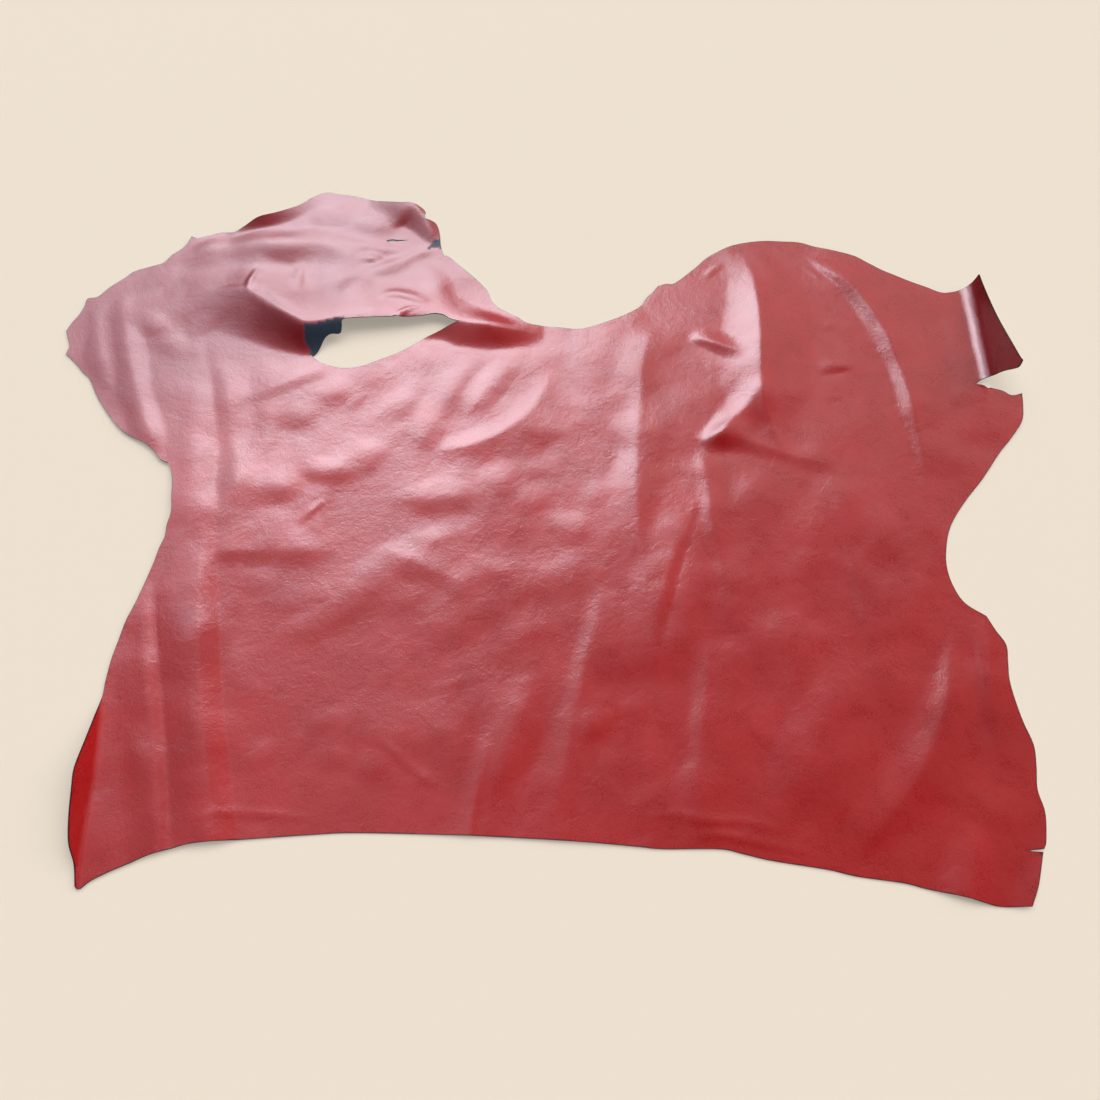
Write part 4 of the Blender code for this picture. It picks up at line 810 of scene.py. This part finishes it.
def grain_leather(settings):
    """Dyed grain side: mottled red, pebbled grain, pores and a waxy sheen, mixed darker and more purple over
    the far left lobe, with a painted shade band along the cut edge and near-black blue painted shadow under
    the arch's end and in the corner fold gap.
    """
    g = Graph("red_grain_leather")
    where = g.node("ShaderNodeTexCoord", output=3)
    x, y, _ = g.split(where)
    clouds = g.noise(where, 7.0, 4.0, 0.55)
    mottle = g.noise(where, 26.0, 5.0, 0.6, 0.4)
    speckle = g.noise(where, 420.0, 2.0, 0.6)
    depth = (0.55 * clouds + 0.45 * mottle + 0.10 * (speckle - 0.5) - 0.5) * 2.0 + 0.5
    dyed = g.mix(depth.clamped(), opaque(settings.dye_deep), opaque(settings.dye))
    # The far left lobe is mixed darker, duller and more purple.
    lobe = ((y - 0.6 * x - 0.36) * 5.0 + 0.5 * (clouds - 0.5)).clamped()
    dyed = g.mix(lobe, dyed, g.mix(0.62, dyed, opaque(settings.far_lobe_colour)))
    # Painted shade: a dark, mottled band along the cut edge.
    rim = g.node("ShaderNodeAttribute", {"attribute_name": "rim"}, {}, 2)
    edge_shade = ((rim - 0.74 + 0.3 * (mottle - 0.5)) * 8.0).clamped()
    dyed = g.mix(0.8 * edge_shade, dyed, PAINTED_EDGE_SHADE)
    pores = g.cells(where, 150.0)
    pore_patches = ((g.noise(where, 5.0, 2.0, 0.5) - 0.52) * 9.0).clamped()
    pore = ((0.17 - pores) * 14.0).clamped() * pore_patches
    dyed = g.mix(0.6 * pore, dyed, PORE_DYE)
    # Painted shadow: near-black blue, and rougher, in the painted shadow places.
    blue_grey = g.node("ShaderNodeAttribute", {"attribute_name": "blue_grey"}, {}, 2)
    fibre = g.noise(where, 300.0, 4.0, 0.7)
    painted_shadow_colour = g.mix(fibre, PAINTED_SHADOW_DARK, PAINTED_SHADOW_LIGHT)
    colour = g.mix(blue_grey, dyed, painted_shadow_colour)

    pebble = g.cells(where, 520.0, "SMOOTH_F1")
    folds = g.noise(where, 110.0, 4.0, 0.6, 0.5)
    ripples = g.noise(where, 34.0, 4.0, 0.6, 0.8)
    normal = g.bump(ripples, 0.0012, 0.5)
    normal = g.bump(folds, 0.0006, 0.5, normal)
    normal = g.bump(pebble - 0.6 * pore, 0.00028, 0.5, normal)
    rough = settings.roughness + 0.12 * (mottle - 0.5) + 0.10 * (speckle - 0.5) + 0.12 * lobe + 0.55 * blue_grey
    return g.finish(Base_Color=colour, Roughness=rough.clamped(), Normal=normal, Specular_IOR_Level=0.9,
                    Coat_Weight=0.2, Coat_Roughness=0.2)


def flesh_leather(settings):
    """Blue-grey flesh side with its short nap."""
    g = Graph("flesh_side")
    where = g.node("ShaderNodeTexCoord", output=3)
    fibre = g.noise(where, 240.0, 5.0, 0.7)
    clouds = g.noise(where, 9.0, 3.0, 0.5)
    shade = (0.6 * fibre + 0.4 * clouds).clamped()
    dark = tuple(0.6 * c for c in settings.blue_grey)
    colour = g.mix(shade, opaque(dark), opaque(settings.blue_grey))
    normal = g.bump(fibre, 0.0012, 0.6)
    return g.finish(Base_Color=colour, Roughness=0.92, Normal=normal, Specular_IOR_Level=0.25)


def edge_leather(settings):
    """The cut edge: near-black red, mottled at random along its fibres."""
    g = Graph("cut_edge")
    where = g.node("ShaderNodeTexCoord", output=3)
    fibre = g.noise(where, 500.0, 4.0, 0.7)
    colour = g.mix(fibre, CUT_DARK, CUT_LIGHT)
    normal = g.bump(fibre, 0.0004, 0.5)
    return g.finish(Base_Color=colour, Roughness=0.95, Normal=normal, Specular_IOR_Level=0.08)


class HIDE_OT_sheet(bpy.types.Operator):
    """Lay the fine sheet over the hide's solid and dress it in its leathers"""
    bl_idname = "hide.sheet"
    bl_label = "Hide Sheet"

    def execute(self, context):
        scene = context.scene
        sheet = build_sheet(scene.hide_sheet)
        for make in (grain_leather, flesh_leather, edge_leather):
            sheet.data.materials.append(make(scene.hide_leather))
        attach(sheet, "root")
        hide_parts(NODE)
        return {"FINISHED"}


FLOOR_GLOW = 0.38
FLOOR_HALF = 6.0
FLOOR_DROP = 0.3 * MM


def floor_material(colour):
    """Plain matt floor with a little light of its own, so that contact shadows stay soft."""
    g = Graph("plain_floor")
    lit = tuple((1.0 - FLOOR_GLOW) * c for c in colour)
    return g.finish(Base_Color=opaque(lit), Roughness=0.95, Specular_IOR_Level=0.1,
                    Emission_Color=opaque(colour), Emission_Strength=FLOOR_GLOW)


# Studio lamps. A soft lamp lights the leather and the floor, a panel is what their gloss mirrors.
# Columns: name, kind, direction x y z, width and height in degrees, colour, strength.
# A soft lamp of strength 1 lights a white floor to 1.
Lamp = namedtuple("Lamp", "name kind towards width height colour strength")
LAMPS = [
    Lamp("right_side", "soft", (0.75, 0.30, 0.60), 60.0, 60.0, (1.0, 0.97, 0.93), 0.44),
    Lamp("overhead", "soft", (-0.05, 0.50, 0.86), 60.0, 60.0, (1.0, 0.99, 0.98), 0.54),
    Lamp("window", "panel", (-0.15, 0.73, 0.67), 28.0, 30.0, (0.84, 0.90, 1.0), 6.6),
    Lamp("window_low", "panel", (-0.15, 0.93, 0.34), 28.0, 14.0, (0.84, 0.90, 1.0), 5.0),
    Lamp("window_left", "panel", (-0.50, 0.62, 0.60), 34.0, 36.0, (0.76, 0.86, 1.0), 2.3),
    Lamp("window_glow", "panel", (0.12, 0.80, 0.58), 74.0, 42.0, (1.0, 0.95, 0.93), 0.8),
    Lamp("side_glow", "panel", (-0.50, 0.15, 0.85), 50.0, 50.0, (0.88, 0.92, 1.0), 0.45),
]
AMBIENT = (0.03, 0.03, 0.03)
PANEL_DISTANCE = 8.0
SENSOR_WIDTH = 36.0


def studio_world():
    """Even dim light from all round."""
    world = bpy.data.worlds.new("studio")
    bpy.context.scene.world = world
    world.use_nodes = True
    world.node_tree.nodes["Background"].inputs["Color"].default_value = (*AMBIENT, 1.0)


def add_lamp(lamp, aim):
    """A soft distant lamp for the light itself, or a flat panel for reflections alone."""
    towards = Vector(lamp.towards).normalized()
    if lamp.kind == "soft":
        data = bpy.data.lights.new(lamp.name, "SUN")
        data.angle = math.radians(lamp.width)
        data.energy = math.pi * lamp.strength / towards.z
    else:
        data = bpy.data.lights.new(lamp.name, "AREA")
        data.shape = "RECTANGLE"
        data.size = 2.0 * PANEL_DISTANCE * math.tan(math.radians(lamp.width / 2.0))
        data.size_y = 2.0 * PANEL_DISTANCE * math.tan(math.radians(lamp.height / 2.0))
        data.energy = math.pi * data.size * data.size_y * lamp.strength
    data.color = lamp.colour
    light = bpy.data.objects.new(lamp.name, data)
    light.location = aim + PANEL_DISTANCE * towards
    light.rotation_euler = towards.to_track_quat("Z", "Y").to_euler()
    light.visible_glossy = lamp.kind == "panel"
    light.visible_diffuse = lamp.kind == "soft"
    bpy.context.scene.collection.objects.link(light)


class HIDE_OT_stage(bpy.types.Operator):
    """Set the plain floor, the soft studio light and the camera"""
    bl_idname = "hide.stage"
    bl_label = "Stage"

    def execute(self, context):
        scene = context.scene
        settings = scene.hide_stage
        near, far = -FLOOR_HALF, FLOOR_HALF
        corners = [(near, near), (far, near), (far, far), (near, far)]
        mesh = bpy.data.meshes.new("floor")
        mesh.from_pydata([(x, y, -FLOOR_DROP) for x, y in corners], [], [(0, 1, 2, 3)])
        floor = bpy.data.objects.new("floor", mesh)
        floor.data.materials.append(floor_material(settings.floor))
        scene.collection.objects.link(floor)
        floor.visible_glossy = False
        studio_world()
        scene.view_settings.view_transform = "Standard"
        camera = bpy.data.objects.new("camera", bpy.data.cameras.new("camera"))
        camera.data.lens = settings.focal
        camera.data.sensor_width = SENSOR_WIDTH
        tilt = settings.elevation
        aim = Vector((-ORIGIN_ON_CUT[0] * CM, -ORIGIN_ON_CUT[1] * CM, 0.0))
        for lamp in LAMPS:
            add_lamp(lamp, aim)
        camera.location = aim + settings.distance * Vector((0.0, -math.cos(tilt), math.sin(tilt)))
        camera.rotation_euler = (math.pi / 2 - tilt, 0.0, 0.0)
        scene.collection.objects.link(camera)
        scene.camera = camera
        return {"FINISHED"}


class HIDE_PT_panel(bpy.types.Panel):
    """Buttons for the hide and its stage"""
    bl_idname = "HIDE_PT_panel"
    bl_label = "Leather Hide"
    bl_space_type = "VIEW_3D"
    bl_region_type = "UI"
    bl_category = "Hide"

    def draw(self, context):
        for group in ("hide_sheet", "hide_leather", "hide_stage"):
            settings = getattr(context.scene, group)
            for key in settings.__annotations__:
                self.layout.prop(settings, key)
        for operator in (HIDE_OT_sheet, HIDE_OT_stage):
            self.layout.operator(operator.bl_idname)


GROUPS = {
    "hide_sheet": HideSheetSettings,
    "hide_leather": HideLeatherSettings,
    "hide_stage": HideStageSettings,
}
CLASSES = (*GROUPS.values(), HIDE_OT_sheet, HIDE_OT_stage, HIDE_PT_panel)


def register():
    for cls in CLASSES:
        bpy.utils.register_class(cls)
    for name, group in GROUPS.items():
        setattr(bpy.types.Scene, name, bpy.props.PointerProperty(type=group))


def unregister():
    for name in GROUPS:
        delattr(bpy.types.Scene, name)
    for cls in reversed(CLASSES):
        bpy.utils.unregister_class(cls)


def main():
    register()
    bpy.ops.hide.sheet()
    bpy.ops.hide.stage()


if __name__ == "__main__":
    main()
